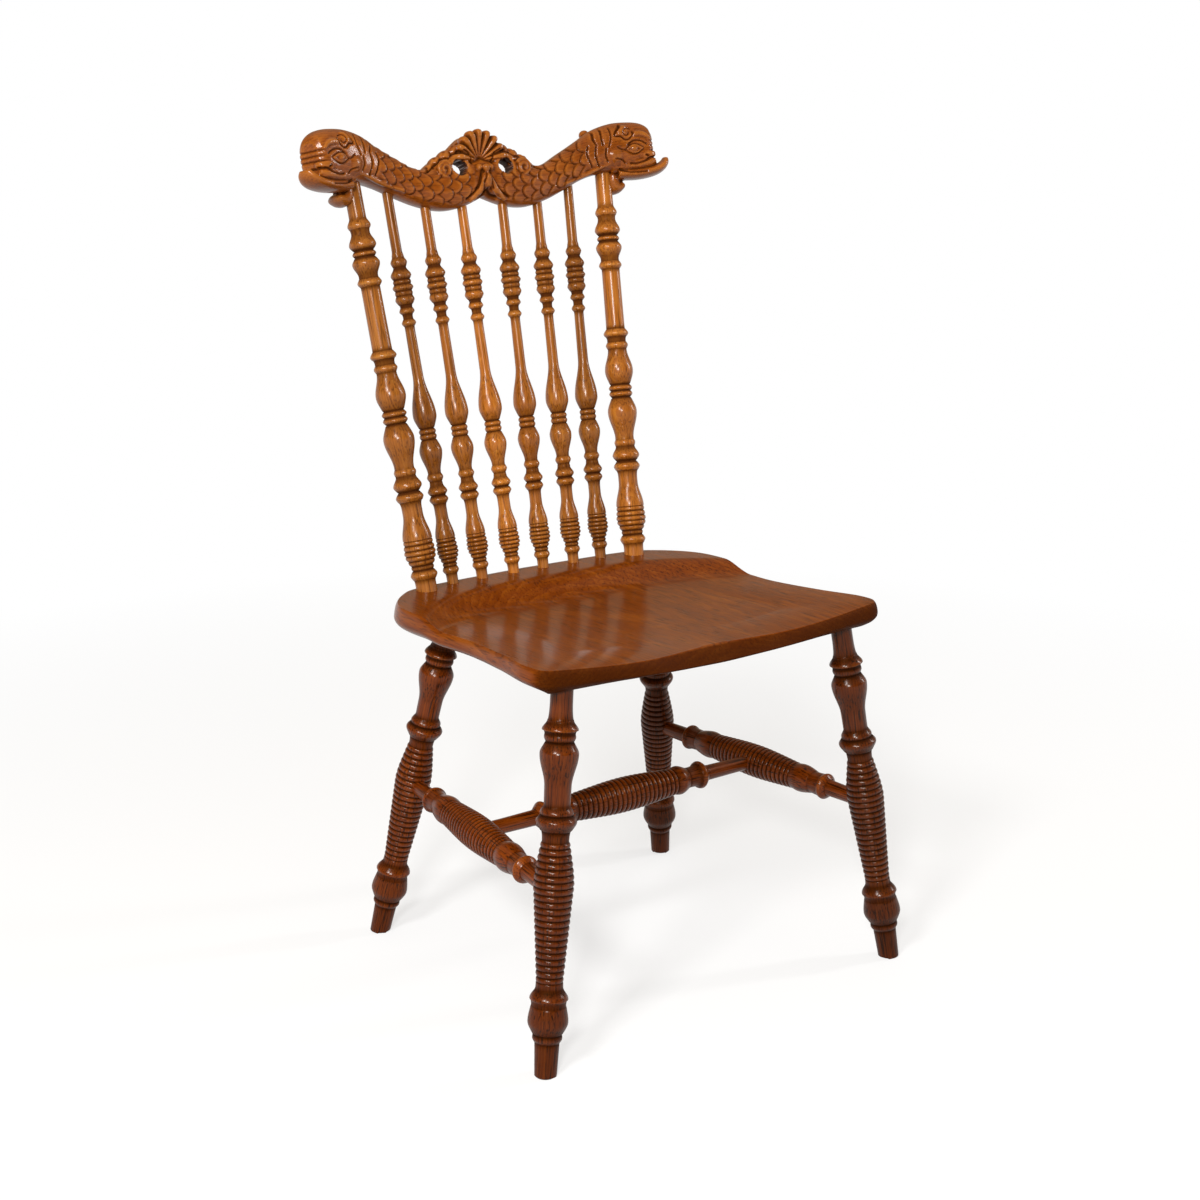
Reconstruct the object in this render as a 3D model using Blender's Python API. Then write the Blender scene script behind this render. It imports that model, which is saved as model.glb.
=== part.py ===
"""Spindle back side chair: a saddle seat on four ring-turned legs with an H stretcher,
a back of two turned posts and six turned spindles, and a carved crest rail.

Metres, +Z up. The chair faces -Y and stands on the floor at z = 0, with the origin
under the middle of its bounding box. Every turned piece ends in round tenons that
sit in bored sockets with a small clearance.
"""

import math

import bmesh
import bpy
from mathutils import Matrix, Vector

# Fits
CLEARANCE = 0.0003
LEG_SIDES = 8
STRETCHER_SIDES = 6
UPRIGHT_SIDES = 6
CARVING_SIDES = 8
SHARP_ANGLE = math.radians(50)

# Seat: height of the ledge that carries the back, board thickness, backward fall of the board
LEDGE_HEIGHT = 0.453
SEAT_THICKNESS = 0.038
SEAT_FALL = 0.04
# Right half of the seat's plan, from the middle of the back edge to the middle of the front edge
SEAT_PLAN = (
    (0.0, 0.168),
    (0.150, 0.160),
    (0.200, 0.138),
    (0.236, 0.083),
    (0.238, 0.000),
    (0.234, -0.070),
    (0.241, -0.150),
    (0.251, -0.215),
    (0.243, -0.248),
    (0.205, -0.253),
    (0.100, -0.258),
    (0.0, -0.260),
)
SEAT_PLAN_STEPS = 2
# How far the underside stands in from the edge
SIDE_UNDERCUT = 0.032
BACK_UNDERCUT = 0.012
FRONT_UNDERCUT = 0.0045
FRONT_CORNER_UNDERCUT = 0.015
FRONT_CORNER_X = 0.160
# How far up the edge its widest line lies
FRONT_EDGE_WIDEST = 0.48
SIDE_EDGE_WIDEST = 0.72
# Width of the edge's rounded top
EDGE_ROUND = 0.008
FRONT_ROLL = 0.034
FRONT_ROLL_REACH = 0.095
# Dished sitting surface: the ledge's front line, the slope down from it, and the depths
LEDGE_FRONT = 0.1105
LEDGE_SWEEP = 0.0980
LEDGE_SWEEP_POWER = 3.6
DISH_SLOPE = 0.060
DISH_DEPTH = 0.021
DISH_RISE_AT_SIDES = 0.0090
DISH_RISE_AT_CORNERS = 0.006

# Legs: centres of the feet on the floor, and where the axes meet the underside of the seat
FRONT_FOOT = Vector((0.2615, -0.2740, 0.0))
FRONT_LEG_AT_SEAT = (0.2045, -0.2255)
REAR_FOOT = Vector((0.2290, 0.1595, 0.0))
REAR_LEG_AT_SEAT = (0.1605, 0.0905)
LEG_SOCKET_DEPTH = 0.014
LEG_TENON_DIAMETER = 0.0255
FRONT_LEG_NECK = 0.035
REAR_LEG_NECK = 0.027
LEG_NECK_TAPER = 0.022

# Stretchers: height above the floor, place of the cross stretcher, tenons
STRETCHER_HEIGHT = 0.2065
CROSS_STRETCHER_Y = -0.060
SIDE_TENON_DIAMETER = 0.0194
CROSS_TENON_DIAMETER = 0.0185
TENON_SHORT_OF_AXIS = 0.006
TENON_SHARE_OF_PLAIN_END = 0.42

# Back: feet on the ledge and places at the crest's reference height
CREST_HEIGHT = 0.930
SPINDLE_FEET_X = (0.023, 0.071, 0.115)
SPINDLE_HEADS_X = (0.031, 0.085, 0.136)
SPINDLE_FEET_Y = 0.1495
SPINDLE_HEADS_Y = 0.2555
POST_FOOT = (0.161, 0.1365)
POST_HEAD = (0.188, 0.2465)
BACK_SOCKET_DEPTH = 0.020
CREST_SOCKET_DEPTH = 0.016
CREST_TENON_LENGTH = 0.026
POST_FOOT_DIAMETER = 0.0265
POST_NECK_DIAMETER = 0.0213
POST_NECK = 0.0253
SPINDLE_FOOT_DIAMETER = 0.0145
SPINDLE_NECK_DIAMETER = 0.0125
SPINDLE_NECK = 0.0696

# Carved crest rail, right half, in the plane of the leaning back:
# distance from the middle, underside, top, lean towards the sitter, half depth
CREST_BODY = (
    (0.000, -0.0080, 0.0400, 0.0000, 0.0190),
    (0.030, -0.0190, 0.0330, 0.0000, 0.0195),
    (0.062, -0.0230, 0.0300, 0.0000, 0.0200),
    (0.095, -0.0160, 0.0300, 0.0000, 0.0190),
    (0.125, -0.0045, 0.0440, 0.0010, 0.0190),
    (0.152, 0.0070, 0.0580, 0.0040, 0.0200),
    (0.175, 0.0130, 0.0710, 0.0090, 0.0220),
    (0.200, 0.0140, 0.0785, 0.0165, 0.0235),
    (0.222, 0.0135, 0.0793, 0.0230, 0.0235),
    (0.239, 0.0150, 0.0765, 0.0290, 0.0220),
    (0.2495, 0.0185, 0.0695, 0.0330, 0.0190),
    (0.254, 0.0250, 0.0610, 0.0350, 0.0130),
)
CREST_SIDES = 12
CREST_STEPS = 1
CREST_ROUNDNESS = 0.8
# Cresting over the middle: right half of its outline (distance from the middle, height)
CRESTING_OUTLINE = (
    (0.0, 0.0758),
    (0.014, 0.0735),
    (0.026, 0.0670),
    (0.038, 0.0535),
    (0.050, 0.0505),
    (0.069, 0.0400),
    (0.081, 0.0290),
    (0.088, 0.0200),
)
CRESTING_FOOT = 0.004
CRESTING_DEPTH = 0.022
CRESTING_BEVEL = 0.003
CRESTING_SET_BACK = 0.008
PIERCING_X = 0.0345
PIERCING_HEIGHT = 0.0295
PIERCING_WIDTH = 0.0180
PIERCING_LENGTH = 0.0220
# Curled lower lip of each carved head: along, height, half thickness, half width
LIP = (
    (0.204, 0.0105, 0.0070, 0.0170),
    (0.228, 0.0090, 0.0072, 0.0190),
    (0.246, 0.0105, 0.0070, 0.0185),
    (0.258, 0.0140, 0.0065, 0.0160),
    (0.2660, 0.0200, 0.0055, 0.0120),
    (0.2675, 0.0265, 0.0035, 0.0075),
)
# Lobes under the jaw and behind the nape: along, set forward of the body's middle, height, radii
CHIN = (0.2110, 0.002, 0.003), (0.0135, 0.0145, 0.0100)
NAPE = (0.1765, -0.015, 0.0685), (0.0072, 0.0075, 0.0068)

# A curve shorter than this is one straight cut, and one longer than the next has two points on it
SHORT_CURVE = 0.0138
LONG_CURVE = 0.0300

# Turned profiles, from the lower end up. Each row is a form, its length and its end diameter:
#   plain  a straight or tapering stretch
#   ease   a smooth change of diameter, level at both ends
#   round  one side of a bead: a quarter of an oval
#   belly  one side of a vase, between round and ease
# A row of reeds is a vase or barrel cut into rings. It has its length, its end diameter, its
# largest diameter, where along it that lies from 0 to 1, the number of rings and its two sides.
LEG_FOOT_DIAMETER = 0.0256
LEG_TURNING = (
    ("plain", 0.0380, 0.0282),
    ("round", 0.0050, 0.0339),
    ("round", 0.0050, 0.0325),
    ("belly", 0.0140, 0.0462),
    ("belly", 0.0180, 0.0391),
    ("plain", 0.0080, 0.0436),
    ("ease", 0.0182, 0.0307),
    ("reeds", 0.1602, 0.0303, 0.0462, 0.685, 22, "plain", "belly"),
    ("plain", 0.0116, 0.0342),
    ("round", 0.0105, 0.0462),
    ("round", 0.0070, 0.0366),
    ("ease", 0.0115, 0.0296),
    ("plain", 0.0200, 0.0302),
    ("ease", 0.0370, 0.0436),
    ("round", 0.0130, 0.0310),
    ("round", 0.0055, 0.0356),
    ("round", 0.0030, 0.0344),
    ("round", 0.0050, 0.0409),
    ("ease", 0.0105, 0.0296),
)
POST_TURNING_BELOW = (
    ("plain", 0.0090, 0.0262),
    ("round", 0.0105, 0.0339),
    ("round", 0.0055, 0.0277),
    ("reeds", 0.0394, 0.0370, 0.0398, 0.560, 6, "ease", "ease"),
    ("ease", 0.0316, 0.0255),
    ("plain", 0.0080, 0.0255),
    ("ease", 0.0135, 0.0349),
    ("round", 0.0070, 0.0257),
    ("round", 0.0075, 0.0359),
    ("ease", 0.0125, 0.0252),
    ("round", 0.0048, 0.0281),
    ("round", 0.0040, 0.0248),
    ("ease", 0.0372, 0.0389),
    ("belly", 0.0190, 0.0243),
    ("round", 0.0048, 0.0313),
    ("round", 0.0040, 0.0261),
    ("round", 0.0037, 0.0313),
    ("round", 0.0045, 0.0251),
    ("belly", 0.0185, 0.0376),
    ("ease", 0.0290, 0.0250),
    ("round", 0.0050, 0.0298),
    ("round", 0.0045, 0.0248),
    ("ease", 0.0108, 0.0332),
    ("round", 0.0067, 0.0248),
)
POST_TURNING_ABOVE = (
    ("round", 0.0050, 0.0304),
    ("round", 0.0057, 0.0243),
    ("ease", 0.0180, 0.0345),
    ("round", 0.0080, 0.0247),
    ("round", 0.0036, 0.0297),
    ("round", 0.0041, 0.0238),
    ("round", 0.0068, 0.0338),
    ("ease", 0.0150, 0.0233),
    ("ease", 0.0085, 0.0290),
    ("ease", 0.0100, 0.0213),
)
POST_SHAFT_TOP_DIAMETER = 0.0239
SPINDLE_TURNING_BELOW = (
    ("plain", 0.0090, 0.0145),
    ("round", 0.0075, 0.0209),
    ("round", 0.0040, 0.0180),
    ("reeds", 0.0375, 0.0252, 0.0278, 0.550, 7, "ease", "ease"),
    ("ease", 0.0275, 0.0160),
    ("plain", 0.0100, 0.0159),
    ("ease", 0.0115, 0.0242),
    ("round", 0.0050, 0.0182),
    ("round", 0.0050, 0.0250),
    ("ease", 0.0130, 0.0160),
    ("round", 0.0052, 0.0208),
    ("round", 0.0048, 0.0166),
    ("ease", 0.0285, 0.0288),
    ("belly", 0.0145, 0.0183),
    ("round", 0.0042, 0.0219),
    ("round", 0.0030, 0.0189),
    ("round", 0.0036, 0.0218),
    ("round", 0.0034, 0.0175),
    ("belly", 0.0168, 0.0299),
    ("ease", 0.0500, 0.0136),
)
SPINDLE_TURNING_ABOVE = (
    ("ease", 0.0060, 0.0182),
    ("round", 0.0050, 0.0126),
    ("ease", 0.0095, 0.0194),
    ("round", 0.0047, 0.0151),
    ("ease", 0.0100, 0.0244),
    ("round", 0.0048, 0.0206),
    ("round", 0.0032, 0.0224),
    ("round", 0.0028, 0.0208),
    ("round", 0.0043, 0.0262),
    ("round", 0.0040, 0.0210),
    ("round", 0.0030, 0.0228),
    ("round", 0.0028, 0.0204),
    ("round", 0.0050, 0.0260),
    ("ease", 0.0105, 0.0160),
    ("round", 0.0060, 0.0209),
    ("ease", 0.0140, 0.0130),
)
SPINDLE_SHAFT_TOP_DIAMETER = 0.0125
# Each stretcher has the same beads at both ends of its reeded barrel
SIDE_STRETCHER_END_DIAMETER = 0.0204
SIDE_STRETCHER_BEADS = (
    ("round", 0.0150, 0.0332),
    ("belly", 0.0160, 0.0280),
    ("belly", 0.0195, 0.0360),
    ("round", 0.0110, 0.0330),
)
SIDE_STRETCHER_BARREL = ("reeds", 0.1430, 0.0330, 0.0424, 0.500, 20, "belly", "belly")
CROSS_STRETCHER_END_DIAMETER = 0.0195
CROSS_STRETCHER_BEADS = (
    ("round", 0.0155, 0.0356),
    ("round", 0.0145, 0.0260),
    ("plain", 0.0060, 0.0264),
    ("belly", 0.0125, 0.0370),
    ("round", 0.0085, 0.0330),
)
CROSS_STRETCHER_BARREL = ("reeds", 0.1560, 0.0330, 0.0441, 0.500, 22, "belly", "belly")
REED_GROOVE = 0.0024

# Finishes: linear colour, roughness
GOLDEN_OAK = ((0.330, 0.140, 0.035), 0.32)
CARVED_OAK = ((0.300, 0.110, 0.028), 0.35)
SEAT_OAK = ((0.230, 0.085, 0.022), 0.25)
DARK_OAK = ((0.165, 0.058, 0.015), 0.32)

SIDES = (("left", -1), ("right", 1))


def clear_scene():
    for obj in list(bpy.data.objects):
        bpy.data.objects.remove(obj, do_unlink=True)


def finish(name, colour_and_roughness):
    colour, roughness = colour_and_roughness
    material = bpy.data.materials.new(name)
    material.use_nodes = True
    shader = material.node_tree.nodes["Principled BSDF"]
    shader.inputs["Base Color"].default_value = (*colour, 1.0)
    shader.inputs["Roughness"].default_value = roughness
    shader.inputs["Metallic"].default_value = 0.0
    return material


def add_object(name, mesh, parent, material=None):
    obj = bpy.data.objects.new(name, mesh)
    bpy.context.scene.collection.objects.link(obj)
    obj.parent = parent
    if material:
        mesh.materials.append(material)
    return obj


def make_helper(obj):
    """A shape that only cuts or joins another one."""
    obj.hide_render = True
    obj.display_type = "WIRE"
    return obj


def boolean(target, other, operation):
    modifier = target.modifiers.new(other.name, "BOOLEAN")
    modifier.operation = operation
    modifier.solver = "EXACT"
    modifier.object = other


def curve_through(points, steps):
    """A smooth open curve through the points, with this many steps between neighbours."""
    points = [Vector(p) for p in points]
    ends = [points[0] * 2 - points[1], *points, points[-1] * 2 - points[-2]]
    found = [points[0]]
    for before, start, end, after in zip(ends, ends[1:], ends[2:], ends[3:]):
        for step in range(1, steps + 1):
            t = step / steps
            found.append(
                0.5 * ((2 * start) + (end - before) * t
                       + (2 * before - 5 * start + 4 * end - after) * t ** 2
                       + (3 * start - before - 3 * end + after) * t ** 3)
            )
    return found


def smooth_step(t):
    t = min(max(t, 0.0), 1.0)
    return t * t * (3 - 2 * t)


def eased(start, end, t):
    return start + (end - start) * (1 - math.cos(math.pi * t)) / 2


def quarter(start, end, t):
    """Diameter at t on a quarter of an oval that stands level at the larger end."""
    if end > start:
        return start + (end - start) * math.sqrt(1 - (1 - t) ** 2)
    return end + (start - end) * math.sqrt(1 - t ** 2)


def diameter_at(form, start, end, t):
    """Diameter of a form at t, from 0 to 1 along it."""
    if form == "plain":
        return start + (end - start) * t
    if form == "ease":
        return eased(start, end, t)
    if form == "round":
        return quarter(start, end, t)
    return (quarter(start, end, t) + eased(start, end, t)) / 2


def curve_stops(form, length):
    """Where along a form its points lie."""
    if form == "plain" or length < SHORT_CURVE:
        return (1.0,)
    return (0.35, 0.7, 1.0) if length > LONG_CURVE else (0.5, 1.0)


def reed_points(start, length, end, middle, peak, count, rise, fall):
    """Crests and grooves of a vase or barrel cut into rings."""

    def size(t):
        if t < peak:
            return diameter_at(rise, start, middle, t / peak)
        return diameter_at(fall, middle, end, (t - peak) / (1 - peak))

    found = []
    for ring in range(count):
        crest = (ring + 0.5) / count
        groove = (ring + 1) / count
        found.append((length * crest, size(crest)))
        found.append((length * groove, size(groove) - REED_GROOVE))
    found[-1] = (length, end)
    return found


def turned_profile(rows, base, start, stretch=1.0):
    """(height, diameter) points of a turning that starts at base, its rows stretched in length."""
    found = [(base, start)]
    for form, row_length, end, *reeds in rows:
        foot, begin = found[-1]
        length = row_length * stretch
        if form == "reeds":
            points = reed_points(begin, length, end, *reeds)
        else:
            points = [(length * t, diameter_at(form, begin, end, t)) for t in curve_stops(form, length)]
        found += [(foot + height, diameter) for height, diameter in points]
    return found


def both_ends(beads, barrel, start):
    """A barrel between beads and the same beads in mirror image."""
    begins = [start] + [end for form, length, end in beads[:-1]]
    back = [(form, length, begin) for (form, length, end), begin in zip(beads, begins)]
    return (*beads, barrel, *reversed(back))


def turned_length(rows):
    return sum(row[1] for row in rows)


def lathe(name, profile, sides, parent, material=None):
    """A turned solid about its own Z axis, from (height, diameter) points."""
    top, bottom = profile[-1][0], profile[0][0]
    outline = [(0.0, top)] + [(d / 2, h) for h, d in reversed(profile)] + [(0.0, bottom)]
    mesh = bpy.data.meshes.new(name)
    edges = [(i, i + 1) for i in range(len(outline) - 1)]
    mesh.from_pydata([(r, 0.0, h) for r, h in outline], edges, [])
    obj = add_object(name, mesh, parent, material)
    screw = obj.modifiers.new("turning", "SCREW")
    screw.axis = "Z"
    screw.steps = sides
    screw.render_steps = sides
    screw.use_merge_vertices = True
    screw.merge_threshold = 0.0001
    return obj


def turning(name, rows, sides, parent, material, start, end):
    """A turned piece whose axis runs from start to end."""
    piece = lathe(name, rows, sides, parent, material)
    piece.location = start
    piece.rotation_mode = "QUATERNION"
    piece.rotation_quaternion = (end - start).to_track_quat("Z", "Y")
    return piece


def bore(target, piece, diameter, low, high, sides):
    """A socket in target for piece, between two heights on the piece's own axis."""
    size = diameter + 2 * CLEARANCE
    cutter = lathe(f"{piece.name}_in_{target.name}", [(low, size), (high, size)], sides, piece.parent)
    cutter.location = piece.location
    cutter.rotation_mode = "QUATERNION"
    cutter.rotation_quaternion = piece.rotation_quaternion
    boolean(target, make_helper(cutter), "DIFFERENCE")


def loft(name, rings, parent, material=None):
    """A closed solid through rings of equally many points, capped at both ends."""
    bm = bmesh.new()
    loops = [[bm.verts.new(point) for point in ring] for ring in rings]
    for lower, upper in zip(loops, loops[1:]):
        for i in range(len(lower)):
            j = (i + 1) % len(lower)
            bm.faces.new((lower[i], lower[j], upper[j], upper[i]))
    bm.faces.new(list(reversed(loops[0])))
    bm.faces.new(loops[-1])
    bmesh.ops.recalc_face_normals(bm, faces=bm.faces)
    mesh = bpy.data.meshes.new(name)
    bm.to_mesh(mesh)
    bm.free()
    mesh.shade_smooth()
    mesh.set_sharp_from_angle(angle=SHARP_ANGLE)
    return add_object(name, mesh, parent, material)


def seat_board_top(y):
    """Height of the board's flat top before the sitting surface is dished."""
    return LEDGE_HEIGHT + (POST_FOOT[1] - y) * SEAT_FALL


def seat_underside(y):
    return seat_board_top(y) - SEAT_THICKNESS


def seat_top(x, y):
    """Height of the dished sitting surface."""
    half_width = max(px for px, py in SEAT_PLAN)
    front = min(py for px, py in SEAT_PLAN)
    across = min(abs(x) / half_width, 1.0)
    ledge = LEDGE_FRONT - LEDGE_SWEEP * across ** LEDGE_SWEEP_POWER
    slope = smooth_step((ledge - y) / DISH_SLOPE)
    forward = smooth_step((LEDGE_FRONT - y) / (LEDGE_FRONT - front))
    depth = DISH_DEPTH - DISH_RISE_AT_SIDES * across ** 2
    depth -= DISH_RISE_AT_CORNERS * forward * across ** 2
    return seat_board_top(y) - slope * depth


def seat_outline():
    right = curve_through(SEAT_PLAN, SEAT_PLAN_STEPS)
    left = [Vector((-p.x, p.y)) for p in reversed(right[1:-1])]
    return right + left


def outward(outline, i):
    """Horizontal direction that faces away from the seat at one point of its outline."""
    along = outline[(i + 1) % len(outline)] - outline[i - 1]
    return Vector((-along.y, along.x)).normalized()


def undercut_at(p, facing):
    """How far the underside stands in at a point of the outline."""
    if facing.y > 0:
        middle = BACK_UNDERCUT
    else:
        corner = smooth_step(abs(p.x) / FRONT_CORNER_X)
        middle = FRONT_UNDERCUT + (FRONT_CORNER_UNDERCUT - FRONT_UNDERCUT) * corner
    return middle + (SIDE_UNDERCUT - middle) * facing.x ** 2


def roll_at(p, facing):
    """Width of the rounded top edge, which is broad at the middle of the front."""
    front = max(-facing.y, 0.0) ** 2 * math.exp(-(p.x / FRONT_ROLL_REACH) ** 2)
    return EDGE_ROUND + (FRONT_ROLL - EDGE_ROUND) * front


def widest_at(facing):
    """How far up the edge, from the underside to the top, its widest line lies."""
    return FRONT_EDGE_WIDEST + (SIDE_EDGE_WIDEST - FRONT_EDGE_WIDEST) * facing.x ** 2


def build_seat(parent, material):
    outline = seat_outline()
    facings = [outward(outline, i) for i in range(len(outline))]
    middle = Vector((0.0, sum(p.y for p in outline) / len(outline)))

    def ring(inset, share):
        points = []
        for p, facing in zip(outline, facings):
            q = p - facing * inset(p, facing)
            low = seat_underside(q.y)
            points.append((q.x, q.y, low + share(facing) * (seat_top(q.x, q.y) - low)))
        return points

    def dish(share):
        points = []
        for p, facing in zip(outline, facings):
            q = middle + (p - facing * roll_at(p, facing) - middle) * share
            points.append((q.x, q.y, seat_top(q.x, q.y)))
        return points

    rings = [
        ring(undercut_at, lambda facing: 0.0),
        ring(lambda p, facing: 0.35 * undercut_at(p, facing), lambda facing: 0.5 * widest_at(facing)),
        ring(lambda p, facing: 0.0, widest_at),
        ring(lambda p, facing: 0.25 * roll_at(p, facing), lambda facing: 0.66 + 0.34 * widest_at(facing)),
    ]
    rings += [dish(share) for share in (1.0, 0.90, 0.77, 0.58, 0.32)]
    return loft("seat", rings, parent, material)


def on_axis(foot, at_seat, height):
    """Point of a leg's axis at this height above the floor."""
    return foot + (at_seat - foot) * ((height - foot.z) / (at_seat.z - foot.z))


def leg_axis(foot, at_seat, side):
    x, y = at_seat
    start = Vector((foot.x * side, foot.y, foot.z))
    return start, Vector((x * side, y, seat_underside(y)))


def build_leg(name, foot, at_seat, neck, side, seat, floor, parent, material):
    """A leg whose turning fills the height up to the plain neck under the seat."""
    start, meets = leg_axis(foot, at_seat, side)
    to_seat = (meets - start).length
    stretch = (to_seat - neck) / turned_length(LEG_TURNING)
    rows = turned_profile(LEG_TURNING, 0.0, LEG_FOOT_DIAMETER, stretch)
    rows.insert(0, (-LEG_FOOT_DIAMETER, LEG_FOOT_DIAMETER))
    tapered = to_seat - neck + LEG_NECK_TAPER
    top = to_seat + LEG_SOCKET_DEPTH
    rows += [(tapered, LEG_TENON_DIAMETER), (top, LEG_TENON_DIAMETER)]
    leg = turning(name, rows, LEG_SIDES, parent, material, start, meets)
    boolean(leg, floor, "DIFFERENCE")
    bore(seat, leg, LEG_TENON_DIAMETER, tapered, top + CLEARANCE, LEG_SIDES)
    return leg


def build_floor_cutter(parent):
    bm = bmesh.new()
    bmesh.ops.create_cube(bm, size=1.0, matrix=Matrix.Translation((0.0, 0.0, -0.5)))
    mesh = bpy.data.meshes.new("floor_cut")
    bm.to_mesh(mesh)
    bm.free()
    return make_helper(add_object("floor_cut", mesh, parent))


def build_stretcher(name, beads, barrel, end_diameter, tenon, start, end, into, parent, material):
    """A stretcher between the axes of the two pieces that it is let into."""
    rows = both_ends(beads, barrel, end_diameter)
    along = (end - start).normalized()
    start = start + along * TENON_SHORT_OF_AXIS
    end = end - along * TENON_SHORT_OF_AXIS
    length = (end - start).length
    plain = (length - turned_length(rows)) / 2
    in_socket = TENON_SHARE_OF_PLAIN_END * plain
    profile = [(0.0, tenon), (in_socket, tenon)]
    profile += turned_profile(rows, plain, end_diameter)
    profile += [(length - in_socket, tenon), (length, tenon)]
    piece = turning(name, profile, STRETCHER_SIDES, parent, material, start, end)
    for target, low, high in zip(
        into,
        (-CLEARANCE, (length - in_socket)),
        (in_socket, length + CLEARANCE),
    ):
        bore(target, piece, tenon, low, high, STRETCHER_SIDES)
    return piece


def crest_at(x):
    """Sizes of the crest's body at x: distance, underside, top, lean and half depth."""
    rows = [Vector(row) for row in CREST_BODY]
    for near, far in zip(rows, rows[1:]):
        if near[0] <= abs(x) <= far[0]:
            return near.lerp(far, (abs(x) - near[0]) / (far[0] - near[0]))
    return rows[-1]


def build_upright(name, foot, head, below, above, sizes, seat, crest, parent, material):
    """A post or spindle, from its socket in the ledge to its socket in the crest rail."""
    foot_diameter, neck_diameter, shaft_top, neck = sizes
    ledge = Vector((*foot, seat_board_top(foot[1])))
    reference = Vector((*head, CREST_HEIGHT))
    axis = (reference - ledge).normalized()
    rise = (reference - ledge).length
    start = ledge - axis * BACK_SOCKET_DEPTH
    socket = BACK_SOCKET_DEPTH
    rows = [(0.0, foot_diameter)] + turned_profile(below, socket, foot_diameter)
    upper_start = socket + (rise - neck) - turned_length(above)
    rows += turned_profile(above, upper_start, shaft_top)
    top = BACK_SOCKET_DEPTH + rise + crest_at(head[0])[1] + CREST_SOCKET_DEPTH
    enters = top - CREST_TENON_LENGTH
    rows += [(enters, neck_diameter), (top, neck_diameter)]
    piece = turning(name, rows, UPRIGHT_SIDES, parent, material, start, reference)
    foot_top = BACK_SOCKET_DEPTH + below[0][1]
    bore(seat, piece, foot_diameter, -CLEARANCE, foot_top, UPRIGHT_SIDES)
    bore(crest, piece, neck_diameter, enters, top + CLEARANCE, UPRIGHT_SIDES)
    return piece


def crest_sections():
    """Rings of the carved body from the left snout to the right one."""
    right = curve_through(CREST_BODY, CREST_STEPS)
    rows = [Vector((-r[0], *r[1:])) for r in reversed(right[1:])] + right
    rings = []
    for i, (x, low, high, lean, half_depth) in enumerate(rows):
        before, after = rows[max(i - 1, 0)], rows[min(i + 1, len(rows) - 1)]
        heading = Vector((after[0] - before[0], before[3] - after[3])).normalized()
        ring = []
        for k in range(CREST_SIDES):
            angle = 2 * math.pi * k / CREST_SIDES
            across = half_depth * math.copysign(abs(math.cos(angle)) ** CREST_ROUNDNESS, math.cos(angle))
            up = math.copysign(abs(math.sin(angle)) ** CREST_ROUNDNESS, math.sin(angle))
            height = (low + high) / 2 + up * (high - low) / 2
            ring.append((x - heading.y * across, -lean + heading.x * across, height))
        rings.append(ring)
    return rings


def head_turn():
    """Horizontal direction in which the right-hand head points."""
    near, far = CREST_BODY[-5], CREST_BODY[-2]
    return Vector((far[0] - near[0], near[3] - far[3])).normalized()


def add_lip(crest, side):
    heading = head_turn()
    jaw = Vector((LIP[0][0], -crest_at(LIP[0][0])[3]))
    path = curve_through(LIP, CREST_STEPS)
    rings = []
    for i, (along, height, half, half_width) in enumerate(path):
        before, after = path[max(i - 1, 0)], path[min(i + 1, len(path) - 1)]
        slope = Vector((after[0] - before[0], after[1] - before[1])).normalized()
        centre = jaw + heading * (along - jaw.x) / heading.x
        ring = []
        for k in range(CARVING_SIDES):
            angle = 2 * math.pi * k / CARVING_SIDES
            across = half_width * math.cos(angle)
            up = half * math.sin(angle)
            x = centre.x - heading.y * across - slope.y * up
            ring.append((side * x, centre.y + heading.x * across, height + slope.x * up))
        rings.append(ring)
    name = "lip_right" if side > 0 else "lip_left"
    boolean(crest, make_helper(loft(name, rings, crest)), "UNION")


def add_lobe(crest, name, side, lobe):
    (along, forward, height), radii = lobe
    bm = bmesh.new()
    bmesh.ops.create_uvsphere(bm, u_segments=CARVING_SIDES, v_segments=CARVING_SIDES // 2, radius=1.0)
    bmesh.ops.scale(bm, vec=radii, verts=bm.verts)
    place = (side * along, -crest_at(along)[3] - forward, height)
    bmesh.ops.translate(bm, vec=place, verts=bm.verts)
    mesh = bpy.data.meshes.new(name)
    bm.to_mesh(mesh)
    bm.free()
    boolean(crest, make_helper(add_object(name, mesh, crest)), "UNION")


def add_cresting(crest):
    half = curve_through(CRESTING_OUTLINE, 2)
    outline = [(-x, z) for x, z in reversed(half[1:])] + [(x, z) for x, z in half]
    outline += [(half[-1].x, CRESTING_FOOT), (-half[-1].x, CRESTING_FOOT)]
    bm = bmesh.new()
    face = CRESTING_SET_BACK - CRESTING_DEPTH / 2
    front = bm.faces.new([bm.verts.new((x, face, z)) for x, z in outline])
    grown = bmesh.ops.extrude_face_region(bm, geom=[front])
    moved = [v for v in grown["geom"] if isinstance(v, bmesh.types.BMVert)]
    bmesh.ops.translate(bm, vec=(0.0, CRESTING_DEPTH, 0.0), verts=moved)
    bmesh.ops.recalc_face_normals(bm, faces=bm.faces)
    rims = [e for e in bm.edges if abs(e.verts[0].co.y - e.verts[1].co.y) < CRESTING_BEVEL]
    bmesh.ops.bevel(bm, geom=rims, offset=CRESTING_BEVEL, segments=1, profile=0.5,
                    affect="EDGES", clamp_overlap=True)
    mesh = bpy.data.meshes.new("cresting")
    bm.to_mesh(mesh)
    bm.free()
    boolean(crest, make_helper(add_object("cresting", mesh, crest)), "UNION")


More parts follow.
